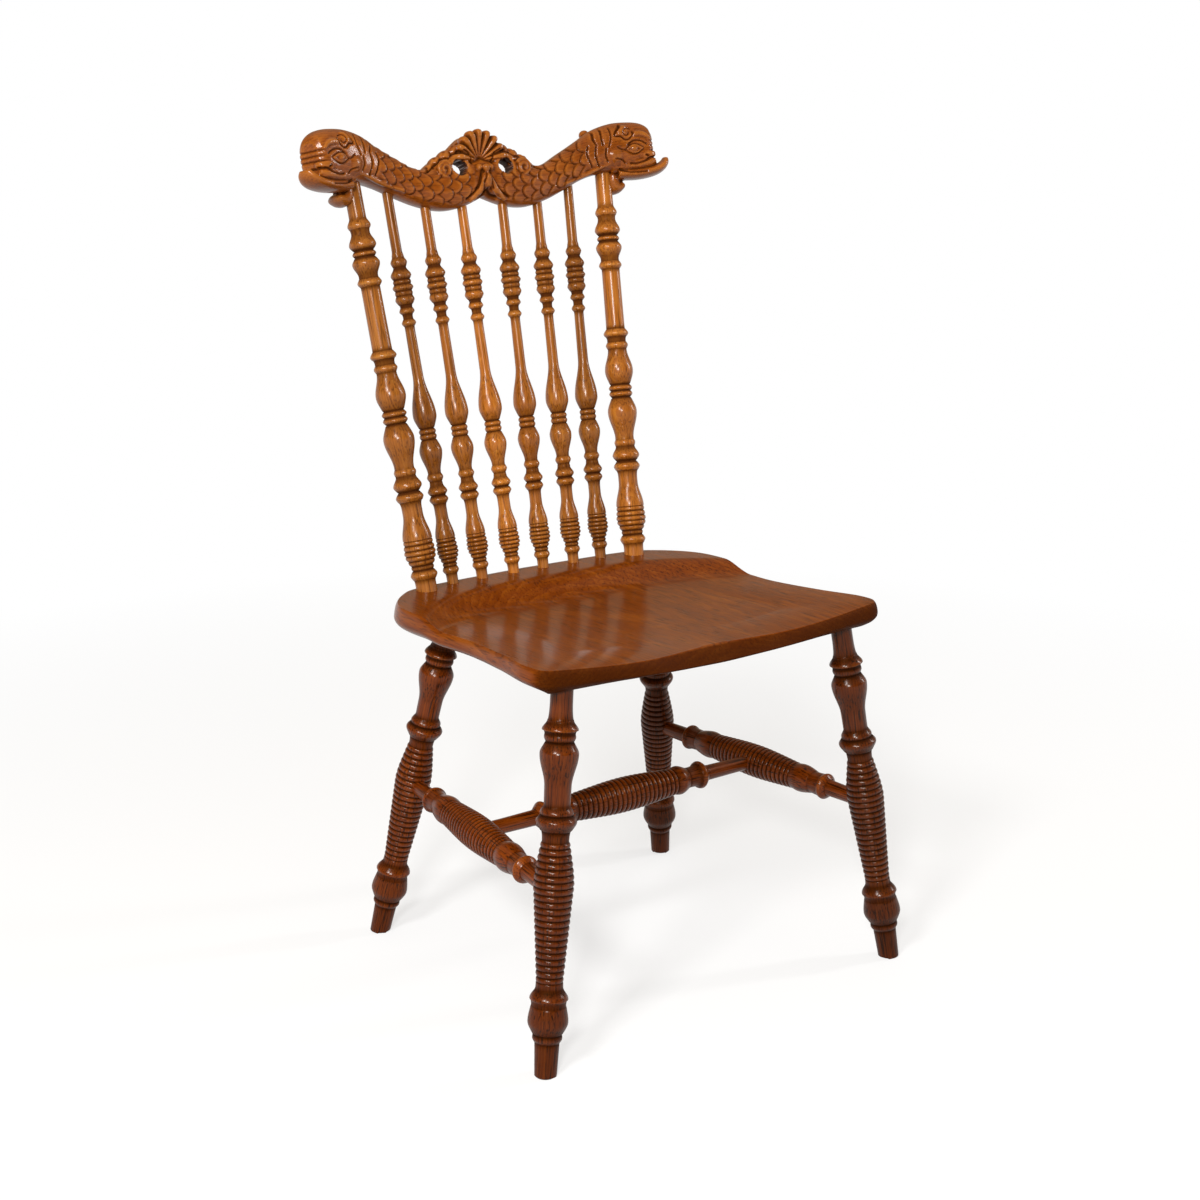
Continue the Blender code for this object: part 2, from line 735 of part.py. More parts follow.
def pierce(crest, side):
    name = "piercing_right" if side > 0 else "piercing_left"
    depth = 4 * CRESTING_DEPTH
    hole = lathe(name, [(-depth / 2, 1.0), (depth / 2, 1.0)], CARVING_SIDES, crest)
    hole.location = (side * PIERCING_X, 0.0, PIERCING_HEIGHT)
    hole.rotation_euler = (math.radians(90), 0.0, 0.0)
    for vertex in hole.data.vertices:
        vertex.co.x *= PIERCING_WIDTH
    hole.scale = (1.0, PIERCING_LENGTH / PIERCING_WIDTH, 1.0)
    boolean(crest, make_helper(hole), "DIFFERENCE")


def build_crest(parent, material):
    crest = loft("crest_rail", crest_sections(), parent, material)
    rise = CREST_HEIGHT - seat_board_top(SPINDLE_FEET_Y)
    rake = math.atan2(SPINDLE_HEADS_Y - SPINDLE_FEET_Y, rise)
    crest.location = (0.0, SPINDLE_HEADS_Y, CREST_HEIGHT)
    crest.rotation_euler = (-rake, 0.0, 0.0)
    add_cresting(crest)
    for word, side in SIDES:
        add_lip(crest, side)
        add_lobe(crest, f"chin_{word}", side, CHIN)
        add_lobe(crest, f"nape_{word}", side, NAPE)
        pierce(crest, side)
    return crest


def build_chair():
    clear_scene()
    root = bpy.data.objects.new("side_chair", None)
    bpy.context.scene.collection.objects.link(root)

    golden = finish("golden_oak", GOLDEN_OAK)
    carved = finish("carved_oak", CARVED_OAK)
    dark = finish("dark_oak", DARK_OAK)
    seat = build_seat(root, finish("seat_oak", SEAT_OAK))
    crest = build_crest(root, carved)
    floor = build_floor_cutter(root)

    stretchers = {}
    for word, side in SIDES:
        legs = []
        axes = []
        for end, foot, at_seat, neck in (
            ("front", FRONT_FOOT, FRONT_LEG_AT_SEAT, FRONT_LEG_NECK),
            ("rear", REAR_FOOT, REAR_LEG_AT_SEAT, REAR_LEG_NECK),
        ):
            name = f"leg_{end}_{word}"
            legs.append(build_leg(name, foot, at_seat, neck, side, seat, floor, root, dark))
            axes.append(on_axis(*leg_axis(foot, at_seat, side), STRETCHER_HEIGHT))
        stretchers[word] = build_stretcher(
            f"stretcher_{word}", SIDE_STRETCHER_BEADS, SIDE_STRETCHER_BARREL, SIDE_STRETCHER_END_DIAMETER,
            SIDE_TENON_DIAMETER, axes[0], axes[1], legs, root, dark,
        )
        share = (CROSS_STRETCHER_Y - axes[0].y) / (axes[1].y - axes[0].y)
        stretchers[word, "meets"] = axes[0].lerp(axes[1], share)
    build_stretcher(
        "stretcher_cross", CROSS_STRETCHER_BEADS, CROSS_STRETCHER_BARREL, CROSS_STRETCHER_END_DIAMETER,
        CROSS_TENON_DIAMETER, stretchers["left", "meets"], stretchers["right", "meets"],
        (stretchers["left"], stretchers["right"]), root, dark,
    )

    post_sizes = POST_FOOT_DIAMETER, POST_NECK_DIAMETER, POST_SHAFT_TOP_DIAMETER, POST_NECK
    spindle_sizes = SPINDLE_FOOT_DIAMETER, SPINDLE_NECK_DIAMETER, SPINDLE_SHAFT_TOP_DIAMETER, SPINDLE_NECK
    for word, side in SIDES:
        build_upright(
            f"post_{word}", (side * POST_FOOT[0], POST_FOOT[1]), (side * POST_HEAD[0], POST_HEAD[1]),
            POST_TURNING_BELOW, POST_TURNING_ABOVE, post_sizes, seat, crest, root, golden,
        )
        for number, (foot_x, head_x) in enumerate(zip(SPINDLE_FEET_X, SPINDLE_HEADS_X), start=1):
            build_upright(
                f"spindle_{word}_{number}", (side * foot_x, SPINDLE_FEET_Y),
                (side * head_x, SPINDLE_HEADS_Y), SPINDLE_TURNING_BELOW, SPINDLE_TURNING_ABOVE,
                spindle_sizes, seat, crest, root, golden,
            )
    return root


build_chair()
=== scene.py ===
# %% [markdown]
# # A carved spindle back side chair
# This lesson dresses a packed chair in wood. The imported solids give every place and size,
# and each cell below remakes one kind of piece with finer forms and a real finish.
# The solids stay hidden underneath, so nothing has to be fitted by eye.

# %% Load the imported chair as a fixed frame
import math

import bmesh
import bpy
import numpy as np
from mathutils import Matrix, Vector


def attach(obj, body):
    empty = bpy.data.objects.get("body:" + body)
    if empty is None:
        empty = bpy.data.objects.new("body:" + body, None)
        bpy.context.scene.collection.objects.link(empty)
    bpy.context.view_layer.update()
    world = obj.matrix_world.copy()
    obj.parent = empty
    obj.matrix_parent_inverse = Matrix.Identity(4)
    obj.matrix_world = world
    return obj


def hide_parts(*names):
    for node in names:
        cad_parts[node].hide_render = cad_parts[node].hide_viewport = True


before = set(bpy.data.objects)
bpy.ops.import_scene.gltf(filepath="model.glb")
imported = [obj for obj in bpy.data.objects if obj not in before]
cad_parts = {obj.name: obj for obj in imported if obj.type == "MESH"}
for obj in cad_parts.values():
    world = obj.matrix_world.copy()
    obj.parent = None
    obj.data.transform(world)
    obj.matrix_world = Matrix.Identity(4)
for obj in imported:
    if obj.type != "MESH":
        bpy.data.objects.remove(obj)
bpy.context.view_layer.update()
scene = bpy.context.scene
scene.view_settings.view_transform = "Standard"

# %% [markdown]
# ## Camera
# The photograph was taken from the sitter's front left, a little above the seat.
# A camera could be placed by eye and nudged. Here its place was solved from the turnings
# that repeat on both sides of the chair, so the numbers are simply written down.

# %% Camera at the photograph's angle
PHOTO_SIZE = 1200
OPTICAL_CENTRE = (581, 590)


def add_object(name, data):
    made = bpy.data.objects.new(name, data)
    scene.collection.objects.link(made)
    return made


azimuth, elevation = math.radians(-34.99), math.radians(15.32)
towards_camera = Vector((
    math.sin(azimuth) * math.cos(elevation),
    -math.cos(azimuth) * math.cos(elevation),
    math.sin(elevation),
))
camera = add_object("photo_camera", bpy.data.cameras.new("photo_camera"))
camera.location = (-1.337, -1.8795, 1.09)
camera.rotation_euler = towards_camera.to_track_quat("Z", "Y").to_euler()
camera.data.sensor_width = 36.0
camera.data.lens = 57.87
camera.data.shift_x = (PHOTO_SIZE / 2 - OPTICAL_CENTRE[0]) / PHOTO_SIZE
camera.data.shift_y = (OPTICAL_CENTRE[1] - PHOTO_SIZE / 2) / PHOTO_SIZE
scene.camera = camera
print("camera lens:", camera.data.lens, "mm")

# %% [markdown]
# ## Floor and studio light
# A pale floor carries the chair's soft shadow and fades to white away from it, as a paper
# backdrop does. The light is a studio's: a soft ceiling, a softbox high on the left, one beside
# the camera and a narrow one at the right. The boxes are small, because small lamps draw the
# short sharp highlights that tell the eye of varnish. The walls are dim and warm: varnish
# mirrors them at a flat angle, and white walls would turn the wood milky. Only the wall
# behind the chair is lighter, so that the seat shows the spindles' reflections against it.

# %% Nodes are wired by one small helper
def node(tree, kind, sockets, **settings):
    """Adds a node. Each socket gets a value, or a link from another node's output."""
    made = tree.nodes.new("ShaderNode" + kind)
    for name, value in settings.items():
        setattr(made, name, value)
    for name, value in sockets.items():
        if isinstance(value, bpy.types.NodeSocket):
            tree.links.new(value, made.inputs[name])
        else:
            made.inputs[name].default_value = value
    return made


def maths(tree, operation, *values):
    """A Math node's result; each value is a number or another node's output."""
    return node(tree, "Math", dict(enumerate(values)), operation=operation).outputs[0]


def spread(tree, value, low, high, start=0.0, end=1.0):
    """Maps low..high to start..end and stops at the ends."""
    return node(tree, "MapRange", {"Value": value, "From Min": low, "From Max": high,
                                   "To Min": start, "To Max": end}).outputs[0]


def blend(tree, factor, first, second):
    """Mixes two colours; each is an output or plain red, green and blue."""
    first, second = ((*c, 1.0) if isinstance(c, tuple) else c for c in (first, second))
    return node(tree, "Mix", {"Factor": factor, "A": first, "B": second},
                data_type="RGBA").outputs["Result"]


def ramp(tree, factor, stops):
    """A colour ramp with (position, colour) stops."""
    made = node(tree, "ValToRGB", {"Fac": factor})
    elements = made.color_ramp.elements
    while len(elements) < len(stops):
        elements.new(0.5)
    for element, (position, colour) in zip(elements, stops):
        element.position = position
        element.color = (*colour, 1.0)
    return made.outputs["Color"]


print("node helpers ready")

# %% Pale floor
FLOOR_HALF_WIDTH = 14.0
SHADOW_NEAR, SHADOW_FAR, WHITE_NEAR = 0.6, 1.9, 0.66


def mesh_from(bm, name):
    mesh = bpy.data.meshes.new(name)
    bm.to_mesh(mesh)
    bm.free()
    return mesh


def floor_material():
    """White to the camera and in reflections, but darker to the light that bounces about."""
    material = bpy.data.materials.new("pale_floor")
    material.use_nodes = True
    tree = material.node_tree
    tree.nodes.clear()
    path = node(tree, "LightPath", {}).outputs
    seen = maths(tree, "ADD", path["Is Camera Ray"], path["Is Glossy Ray"])
    seen = maths(tree, "MINIMUM", maths(tree, "ADD", seen, path["Is Transmission Ray"]), 1.0)
    place = node(tree, "TexCoord", {}).outputs["Object"]
    away = node(tree, "VectorMath", {0: place}, operation="LENGTH").outputs["Value"]
    fade = spread(tree, away, SHADOW_NEAR, SHADOW_FAR, WHITE_NEAR, 1.0)
    share = maths(tree, "MULTIPLY", seen, fade)
    paper = blend(tree, seen, (0.34,) * 3, (0.9,) * 3)
    matt = node(tree, "BsdfDiffuse", {"Color": paper})
    white = node(tree, "Emission", {"Color": (1.0, 1.0, 1.0, 1.0), "Strength": 1.0})
    mixed = node(tree, "MixShader", {0: share, 1: matt.outputs[0], 2: white.outputs[0]})
    node(tree, "OutputMaterial", {"Surface": mixed.outputs[0]})
    return material


bm = bmesh.new()
bmesh.ops.create_grid(bm, x_segments=1, y_segments=1, size=FLOOR_HALF_WIDTH)
floor = add_object("floor", mesh_from(bm, "floor"))
floor.data.materials.append(floor_material())
print("floor:", floor.dimensions.x, "m wide")

# %% Soft ceiling and dim walls
WHITE, CEILING = (1.0, 1.0, 1.0), (0.5, 0.45, 0.38)
FAR_WALL = ((0.06, WHITE), (0.14, (0.5, 0.37, 0.22)), (0.42, (0.38, 0.29, 0.19)), (0.8, CEILING))
NEAR_WALL = ((0.18, WHITE), (0.22, (0.13, 0.1, 0.07)), (0.42, (0.11, 0.09, 0.07)), (0.8, CEILING))
BEHIND_CHAIR = (0.57, 0.82, 0.0)

world = bpy.data.worlds.new("studio")
world.use_nodes = True
scene.world = world
sky = world.node_tree
sky.nodes.clear()
direction = node(sky, "TexCoord", {}).outputs["Generated"]
height = node(sky, "SeparateXYZ", {0: direction}).outputs["Z"]
behind = node(sky, "VectorMath", {0: direction, 1: BEHIND_CHAIR},
              operation="DOT_PRODUCT").outputs["Value"]
far_wall, near_wall = ramp(sky, height, FAR_WALL), ramp(sky, height, NEAR_WALL)
walls = blend(sky, spread(sky, behind, 0.1, 0.7), near_wall, far_wall)
backdrop = node(sky, "Background", {"Color": walls, "Strength": 1.0})
node(sky, "OutputWorld", {"Surface": backdrop.outputs[0]})
print("studio walls and ceiling ready")

# %% Softboxes
AIM = Vector((0.0, 0.0, 0.6))
SOFTBOXES = (
    ("key_softbox", (-2.9, -1.5, 3.0), (0.7, 0.7), 104.0),
    ("front_softbox", (-2.3, -2.5, 2.1), (0.5, 0.5), 96.0),
    ("edge_softbox", (2.6, -0.9, 1.7), (0.2, 1.1), 26.0),
)
for name, place, size, watts in SOFTBOXES:
    lamp = bpy.data.lights.new(name, "AREA")
    lamp.shape = "RECTANGLE"
    lamp.size, lamp.size_y = size
    lamp.energy = watts
    box = add_object(name, lamp)
    box.location = place
    box.rotation_euler = (Vector(place) - AIM).to_track_quat("Z", "Y").to_euler()

# %% [markdown]
# ## Oak finishes
# The whole chair is oak under a clear glossy varnish. Dark stain has settled in the cuts and
# the raised edges are rubbed lighter. The same darkening also paints shade into the cuts and
# onto the seat's front edge and underside, and on the turnings the lightening also paints
# highlights onto the raised beads. A picture of wood could be wrapped round each piece, but it
# would stretch on the turnings. Instead each mesh carries three attributes: "grain" says where
# a point lay in the board, with Z along the fibres, "patina_and_painted_light" runs from 0 in
# a cut darkened by stain and painted shade to 1 on an edge lightened by wear and painted
# highlight, and "tone" makes one piece darker than the next. The nodes draw year rings, pores,
# stain and painted light from these, so the grain runs through the wood as it really does.

# %% One recipe for all the oak
WAVE_LENGTH = 0.314  # of a Wave texture whose scale is 1
WARM_SHEEN = (1.0, 0.46, 0.14, 1.0)


def oak(name, tones, stain_and_shade, worn_and_lit, roughness, coat, satin, pores, ring_width=0.0034, ring_share=0.15):
    """tones are the dark, middle and light wood; stain_and_shade colours pores and cuts, as real
    staining and, in the cuts, as painted shade; worn_and_lit lightens edges, as wear and, on
    raised beads, as a painted highlight. coat is the varnish's weight and roughness; satin is
    the sheen of the wood below it."""
    material = bpy.data.materials.new(name)
    material.use_nodes = True
    tree = material.node_tree
    shader = tree.nodes["Principled BSDF"]

    def attribute(title, output):
        return node(tree, "Attribute", {}, attribute_name=title).outputs[output]

    def fibres(scale, detail):
        """Noise that is drawn out along the grain."""
        stretched = node(tree, "Mapping", {"Vector": board, "Scale": scale}).outputs[0]
        return node(tree, "TexNoise", {
            "Vector": stretched, "Scale": 1.0, "Detail": detail, "Roughness": 0.55}).outputs

    def mean(share, first, second):
        return node(tree, "Mix", {"Factor": share, "A": first, "B": second}).outputs["Result"]

    board = attribute("grain", "Vector")
    patina_and_painted_light, tone = attribute("patina_and_painted_light", "Fac"), attribute("tone", "Fac")
    drift = fibres((14.0, 14.0, 3.0), 2.0)["Color"]
    bent = node(tree, "VectorMath", {0: drift, 1: (0.016, 0.016, 0.0), 2: board},
                operation="MULTIPLY_ADD").outputs[0]
    rings = node(tree, "TexWave", {
        "Vector": bent, "Scale": WAVE_LENGTH / ring_width, "Distortion": 1.5, "Detail": 2.0,
        "Detail Scale": 1.2}, wave_type="RINGS", rings_direction="Z", wave_profile="SAW").outputs["Fac"]
    cloud = fibres((34.0, 34.0, 7.0), 4.0)["Fac"]
    streak = fibres((260.0, 260.0, 7.0), 3.0)["Fac"]
    pore = spread(tree, fibres((640.0, 640.0, 24.0), 1.0)["Fac"], 0.54, 0.66)
    figure = mean(ring_share, mean(0.4, cloud, streak), rings)

    bare = ramp(tree, figure, ((0.26, tones[0]), (0.5, tones[1]), (0.72, tones[2])))
    bare = blend(tree, maths(tree, "MULTIPLY", pore, pores), bare, stain_and_shade)
    # Lighter where the patina and painted light attribute is high: wear on edges, and a painted
    # highlight on raised beads.
    worn_and_lit_share = maths(tree, "MULTIPLY", spread(tree, patina_and_painted_light, 0.55, 1.0), cloud)
    bare = blend(tree, worn_and_lit_share, bare, worn_and_lit)
    bare = node(tree, "VectorMath", {0: bare, "Scale": tone}, operation="SCALE").outputs[0]
    # Darker where it is low: stain in cuts, and painted shade in cuts and on the seat's front edge and
    # underside.
    stained_and_shaded = spread(tree, patina_and_painted_light, 0.47, 0.02, 0.0, 0.92)
    even = spread(tree, figure, 0.25, 0.75, *roughness)
    relief = maths(tree, "MULTIPLY_ADD", pore, -0.8, figure)
    bump = node(tree, "Bump", {"Strength": 0.2, "Distance": 0.0004, "Height": relief})

    for socket, value in {
        "Base Color": blend(tree, stained_and_shaded, bare, stain_and_shade),
        "Roughness": maths(tree, "MULTIPLY_ADD", stained_and_shaded, 0.35, even),
        "Normal": bump.outputs[0],
        "Coat Weight": spread(tree, patina_and_painted_light, 0.16, 0.46, 0.0, coat[0]),
    }.items():
        tree.links.new(value, shader.inputs[socket])
    shader.inputs["Specular IOR Level"].default_value = satin
    shader.inputs["Specular Tint"].default_value = WARM_SHEEN
    shader.inputs["Coat Roughness"].default_value = coat[1]
    return material


print("oak recipe ready")

# %% Four finishes, from the pale spindles to the dark legs
golden_oak = oak(
    "golden_oak_varnish",
    tones=((0.186, 0.05, 0.004), (0.295, 0.091, 0.01), (0.412, 0.153, 0.022)),
    stain_and_shade=(0.04, 0.009, 0.002), worn_and_lit=(0.6, 0.26, 0.05),
    roughness=(0.34, 0.46), coat=(0.48, 0.22), satin=0.14, pores=0.6)
carved_oak = oak(
    "carved_oak_varnish",
    tones=((0.112, 0.022, 0.0015), (0.194, 0.043, 0.0025), (0.286, 0.076, 0.006)),
    stain_and_shade=(0.018, 0.004, 0.001), worn_and_lit=(0.42, 0.14, 0.018),
    roughness=(0.32, 0.44), coat=(0.44, 0.19), satin=0.14, pores=0.42)
seat_oak = oak(
    "seat_oak_varnish",
    tones=((0.098, 0.016, 0.0008), (0.164, 0.033, 0.0014), (0.252, 0.064, 0.005)),
    stain_and_shade=(0.03, 0.006, 0.001), worn_and_lit=(0.34, 0.1, 0.012),
    roughness=(0.26, 0.36), coat=(0.3, 0.12), satin=0.05, pores=0.66,
    ring_width=0.006, ring_share=0.14)
dark_oak = oak(
    "dark_oak_varnish",
    tones=((0.061, 0.009, 0.0003), (0.119, 0.02, 0.0008), (0.204, 0.042, 0.0025)),
    stain_and_shade=(0.01, 0.002, 0.0005), worn_and_lit=(0.27, 0.07, 0.008),
    roughness=(0.3, 0.42), coat=(0.36, 0.2), satin=0.1, pores=0.88)
print("finishes:", golden_oak.name, carved_oak.name, seat_oak.name, dark_oak.name)

# %% [markdown]
# ## Turned pieces
# Legs, stretchers, posts and spindles were all turned on a lathe, so one profile spun about
# an axis makes each of them. The profile is written as a turner reads it, in millimetres:
# a form, its length and the diameter it ends with. A round swells like one side of a bead,
# a cove is hollow, an ease is level at both ends, a belly lies between round and ease.
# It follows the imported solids, but every curve is smooth here and every reed is rounded.

# %% Profile of a turning
REED_GROOVE, REED_STEPS = 0.0017, 8
PROFILE_STEP, FEWEST_STEPS, MOST_STEPS = 0.0008, 6, 16


def share_at(form, rising, t):
    """How much of a form's change of diameter is done at t, from 0 to 1 along it."""
    ease = (1 - math.cos(math.pi * t)) / 2
    quarter = math.sqrt(1 - (1 - t) ** 2) if rising else 1 - math.sqrt(1 - t ** 2)
    return {"plain": t, "ease": ease, "round": 0.4 * quarter + 0.6 * ease,
            "belly": (quarter + ease) / 2}[form]


def form_points(form, start, end, length):
    """(distance, diameter) points of one form after its start."""
    steps = min(max(round(length / PROFILE_STEP), FEWEST_STEPS), MOST_STEPS)
    found = []
    for k in range(1, steps + 1):
        t = k / steps
        if form == "cove":
            angle = math.pi / 2 * t
            t, done = math.sin(angle), 1 - math.cos(angle)
            if end < start:
                t, done = done, t
        else:
            done = share_at(form, end > start, t)
        found.append((length * t, start + (end - start) * done))
    return found


def reed_points(start, end, length, widest, peak, count, rise, fall):
    """A vase or barrel cut into rounded rings."""
    found = []
    for reed in range(count):
        for k in range(1, REED_STEPS + 1):
            t = (reed + k / REED_STEPS) / count
            if t < peak:
                size = start + (widest - start) * share_at(rise, True, t / peak)
            else:
                past = min((t - peak) / (1 - peak), 1.0)
                size = widest + (end - widest) * share_at(fall, False, past)
            at_end = (reed, k) == (count - 1, REED_STEPS)
            cut = 0.0 if at_end else (2 * k / REED_STEPS - 1) ** 2
            found.append((length * t, size - 2 * REED_GROOVE * cut))
    return found


def profile_of(rows, base, start, stretch=1.0):
    """(height, diameter) points in metres of a turning whose rows are in millimetres."""
    found = [(base, start)]
    for form, length, end, *reeds in rows:
        foot, begin = found[-1]
        length, end = length * stretch / 1000, end / 1000
        if form == "reeds":
            points = reed_points(begin, end, length, reeds[0] / 1000, *reeds[1:])
        else:
            points = form_points(form, begin, end, length)
        found += [(foot + d, size) for d, size in points]
    return found


def length_of(rows):
    return sum(row[1] for row in rows) / 1000


print("half a bead has", len(form_points("round", 0.02, 0.03, 0.005)), "profile points")

# %% [markdown]
# Where the profile dips below its own average it is painted darker, as stain and as painted
# shade, and where it stands proud it is painted lighter, as worn varnish and as a painted
# highlight. That is easy to measure on the profile before it is spun: smooth it, and
# compare. Close stacks of beads were hard to wipe and lie in each other's shade, so they are
# painted darker than a plain shaft. The result rides on the vertices as the attribute
# "patina_and_painted_light".

# %% Patina and painted light of a profile
NEARBY, PROUD, STACK_REACH, STACK_STAIN_AND_SHADE = 0.0045, 0.0015, 0.012, 0.33


def patina_and_painted_light_of(profile):
    """Patina and painted light at each (height, diameter) point of a profile."""
    heights, diameters = np.array(profile).T
    radii = diameters / 2
    spacing = np.gradient(heights).clip(1e-5)

    def average(values, distance):
        weights = np.exp(-((heights[:, None] - heights) / distance) ** 2) * spacing
        return weights @ values / weights.sum(axis=1)

    busy = average(np.abs(np.gradient(radii) / spacing).clip(0.0, 1.2), STACK_REACH)
    proud = (radii - average(radii, NEARBY)) / PROUD
    # Dips get stain and painted shade, proud rings wear and a painted highlight, busy stacks more stain
    # and painted shade.
    return (0.52 + 0.5 * proud - STACK_STAIN_AND_SHADE * (busy / 0.6).clip(0.0, 1.0)).clip(0.0, 1.0)


print("patina of a plain rod:", patina_and_painted_light_of(((0.0, 0.02), (0.01, 0.02), (0.02, 0.02))))

# %% Grain of a piece, and its place in the chair
NEXT_TURN, NEXT_BOARD = 2.4, 0.37
TONES = {
    "post_left": 0.88, "post_right": 1.15,
    "spindle_left_1": 1.22, "spindle_left_2": 0.92, "spindle_left_3": 0.68,
    "spindle_right_1": 0.96, "spindle_right_2": 0.9, "spindle_right_3": 0.72,
    "leg_front_left": 0.8, "leg_front_right": 0.6, "leg_rear_right": 0.8, "stretcher_left": 1.15,
}
made_pieces = []


def lay_grain(bm, along, tone=1.0, from_heart=0.034):
    """Gives each piece its own place in a board, beside the heart of the tree."""
    number = len(made_pieces)
    turn = NEXT_TURN * number
    heart = Vector((from_heart * math.cos(turn), from_heart * math.sin(turn), NEXT_BOARD * number))
    grain = bm.verts.layers.float_vector.new("grain")
    shade = bm.verts.layers.float.new("tone")
    for vert in bm.verts:
        vert[grain] = along @ vert.co + heart
        vert[shade] = tone


def keep_piece(name, mesh, material, node_name):
    """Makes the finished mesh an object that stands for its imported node."""
    mesh.materials.append(material)
    piece = add_object(name, mesh)
    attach(piece, "root")
    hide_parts(node_name)
    made_pieces.append(piece)
    return piece


print("pieces with a tone of their own:", len(TONES))

# %% Spin a profile into a piece
FOOT_BEVEL, DARKEST_FOOT_SHARE, FOOT_FADE_FROM, FOOT_FADE_OVER = 0.0022, 0.58, 0.02, 0.09


def edges_in(geom):
    return [e for e in geom if isinstance(e, bmesh.types.BMEdge)]


def cut_foot(bm, patina_and_painted_light):
    """Cuts a leg level with the floor, eases its rim and darkens it towards the floor."""
    everything = bm.verts[:] + bm.edges[:] + bm.faces[:]
    cut = bmesh.ops.bisect_plane(bm, geom=everything, plane_co=(0, 0, 0), plane_no=(0, 0, 1),
                                 clear_inner=True)
    rim = edges_in(cut["geom_cut"])
    bmesh.ops.contextual_create(bm, geom=rim)
    bmesh.ops.bevel(bm, geom=rim, offset=FOOT_BEVEL, segments=3, profile=0.5, affect="EDGES",
                    material=-1)
    # Darker towards the floor, up to 11 cm above it.
    for vert in bm.verts:
        undarkened = min(max((vert.co.z - FOOT_FADE_FROM) / FOOT_FADE_OVER, 0.0), 1.0)
        vert[patina_and_painted_light] *= DARKEST_FOOT_SHARE + (1 - DARKEST_FOOT_SHARE) * undarkened


def turn_piece(node_name, profile, start, end, material, steps, cut_at_floor=False):
    """Spins (height, diameter) points about the axis from start to end."""
    bm = bmesh.new()
    patina_and_painted_light = bm.verts.layers.float.new("patina_and_painted_light")
    shade = patina_and_painted_light_of(profile)
    shade = [shade[0], *shade, shade[-1]]
    line = []
    closed = [(profile[0][0], 0.0), *profile, (profile[-1][0], 0.0)]
    for (height, diameter), value in zip(closed, shade):
        vert = bm.verts.new((diameter / 2, 0.0, height))
        vert[patina_and_painted_light] = value
        line.append(vert)
    edges = [bm.edges.new(pair) for pair in zip(line, line[1:])]
    bmesh.ops.spin(bm, geom=line + edges, axis=(0, 0, 1), cent=(0, 0, 0), angle=2 * math.pi,
                   steps=steps, use_merge=True)
    bmesh.ops.remove_doubles(bm, verts=bm.verts, dist=1e-6)
    lay_grain(bm, Matrix.Identity(3), TONES.get(node_name, 1.0))
    upright = (end - start).to_track_quat("Z", "Y").to_matrix().to_4x4()
    bmesh.ops.transform(bm, matrix=Matrix.Translation(start) @ upright, verts=bm.verts)
    if cut_at_floor:
        cut_foot(bm, patina_and_painted_light)
    bmesh.ops.recalc_face_normals(bm, faces=bm.faces)
    mesh = mesh_from(bm, node_name + "_turned")
    mesh.shade_smooth()
    mesh.set_sharp_from_angle(angle=math.radians(48))
    return keep_piece(node_name + "_turned", mesh, material, node_name)


print("lathe ready")

# %% [markdown]
# ## Legs
# Each leg splays out to the side and to the front or back. Its axis runs from the foot on the
# floor to the underside of the seat, which falls a little towards the back. The foot is cut
# level with the floor and its rim is eased, as it is on the real chair.

# %% Four ring-turned legs
LEDGE_HEIGHT, SEAT_THICKNESS, SEAT_FALL = 0.453, 0.038, 0.04
POST_FOOT = (0.161, 0.1365)
LEG_TURNING = (
    ("plain", 38, 28.2), ("round", 5, 33.9), ("round", 5, 32.5), ("belly", 14, 45.8),
    ("belly", 18, 39.1), ("cove", 8, 43.6), ("ease", 13, 31.2), ("plain", 5.2, 30.7),
    ("reeds", 160.2, 30.3, 46, 0.685, 22, "plain", "belly"), ("cove", 11.6, 34.2),
    ("round", 10.5, 46), ("round", 7, 36.2), ("round", 2.5, 37.6), ("ease", 9, 29.6),
    ("plain", 20, 30.2), ("ease", 37, 43.6), ("round", 13, 31), ("round", 5.5, 35.6),
    ("round", 3, 34.4), ("cove", 5, 40.9), ("ease", 10.5, 29.6),
)
# Foot on the floor, place under the seat, length of the plain neck
LEGS = {
    "front": ((0.2615, -0.274), (0.2045, -0.2255), 0.035),
    "rear": ((0.229, 0.1595), (0.1605, 0.0905), 0.027),
}
FOOT_DIAMETER, LEG_TENON, LEG_SOCKET, NECK_TAPER = 0.0254, 0.0255, 0.014, 0.022
LEG_SIDES = 64
SIDES = (("left", -1), ("right", 1))


def board_top(y):
    return LEDGE_HEIGHT + (POST_FOOT[1] - y) * SEAT_FALL


def underside(y):
    return board_top(y) - SEAT_THICKNESS


leg_axes = {}
for end_name, (foot, at_seat, neck) in LEGS.items():
    for side_name, side in SIDES:
        start = Vector((side * foot[0], foot[1], 0.0))
        meets = Vector((side * at_seat[0], at_seat[1], underside(at_seat[1])))
        rise = (meets - start).length
        stretch = (rise - neck) / length_of(LEG_TURNING)
        profile = [(-FOOT_DIAMETER, FOOT_DIAMETER)]
        profile += profile_of(LEG_TURNING, 0.0, FOOT_DIAMETER, stretch)
        foot_of_neck, size = profile[-1]
        taper = form_points("cove", size, LEG_TENON, NECK_TAPER)
        profile += [(foot_of_neck + d, s) for d, s in taper]
        profile.append((rise + LEG_SOCKET, LEG_TENON))
        leg_axes[end_name, side_name] = start, meets
        leg = turn_piece(f"leg_{end_name}_{side_name}", profile, start, meets, dark_oak, LEG_SIDES,
                         cut_at_floor=True)
print("legs:", len(made_pieces), "with", len(leg.data.polygons), "faces each")

# %% [markdown]
# ## Stretchers
# Two side stretchers tie the front legs to the rear ones, and a third crosses between them.
# Each is a long reeded barrel between beads, and its plain ends run into bored sockets.
# Both ends are alike, so only one is written down and the other is its mirror image.

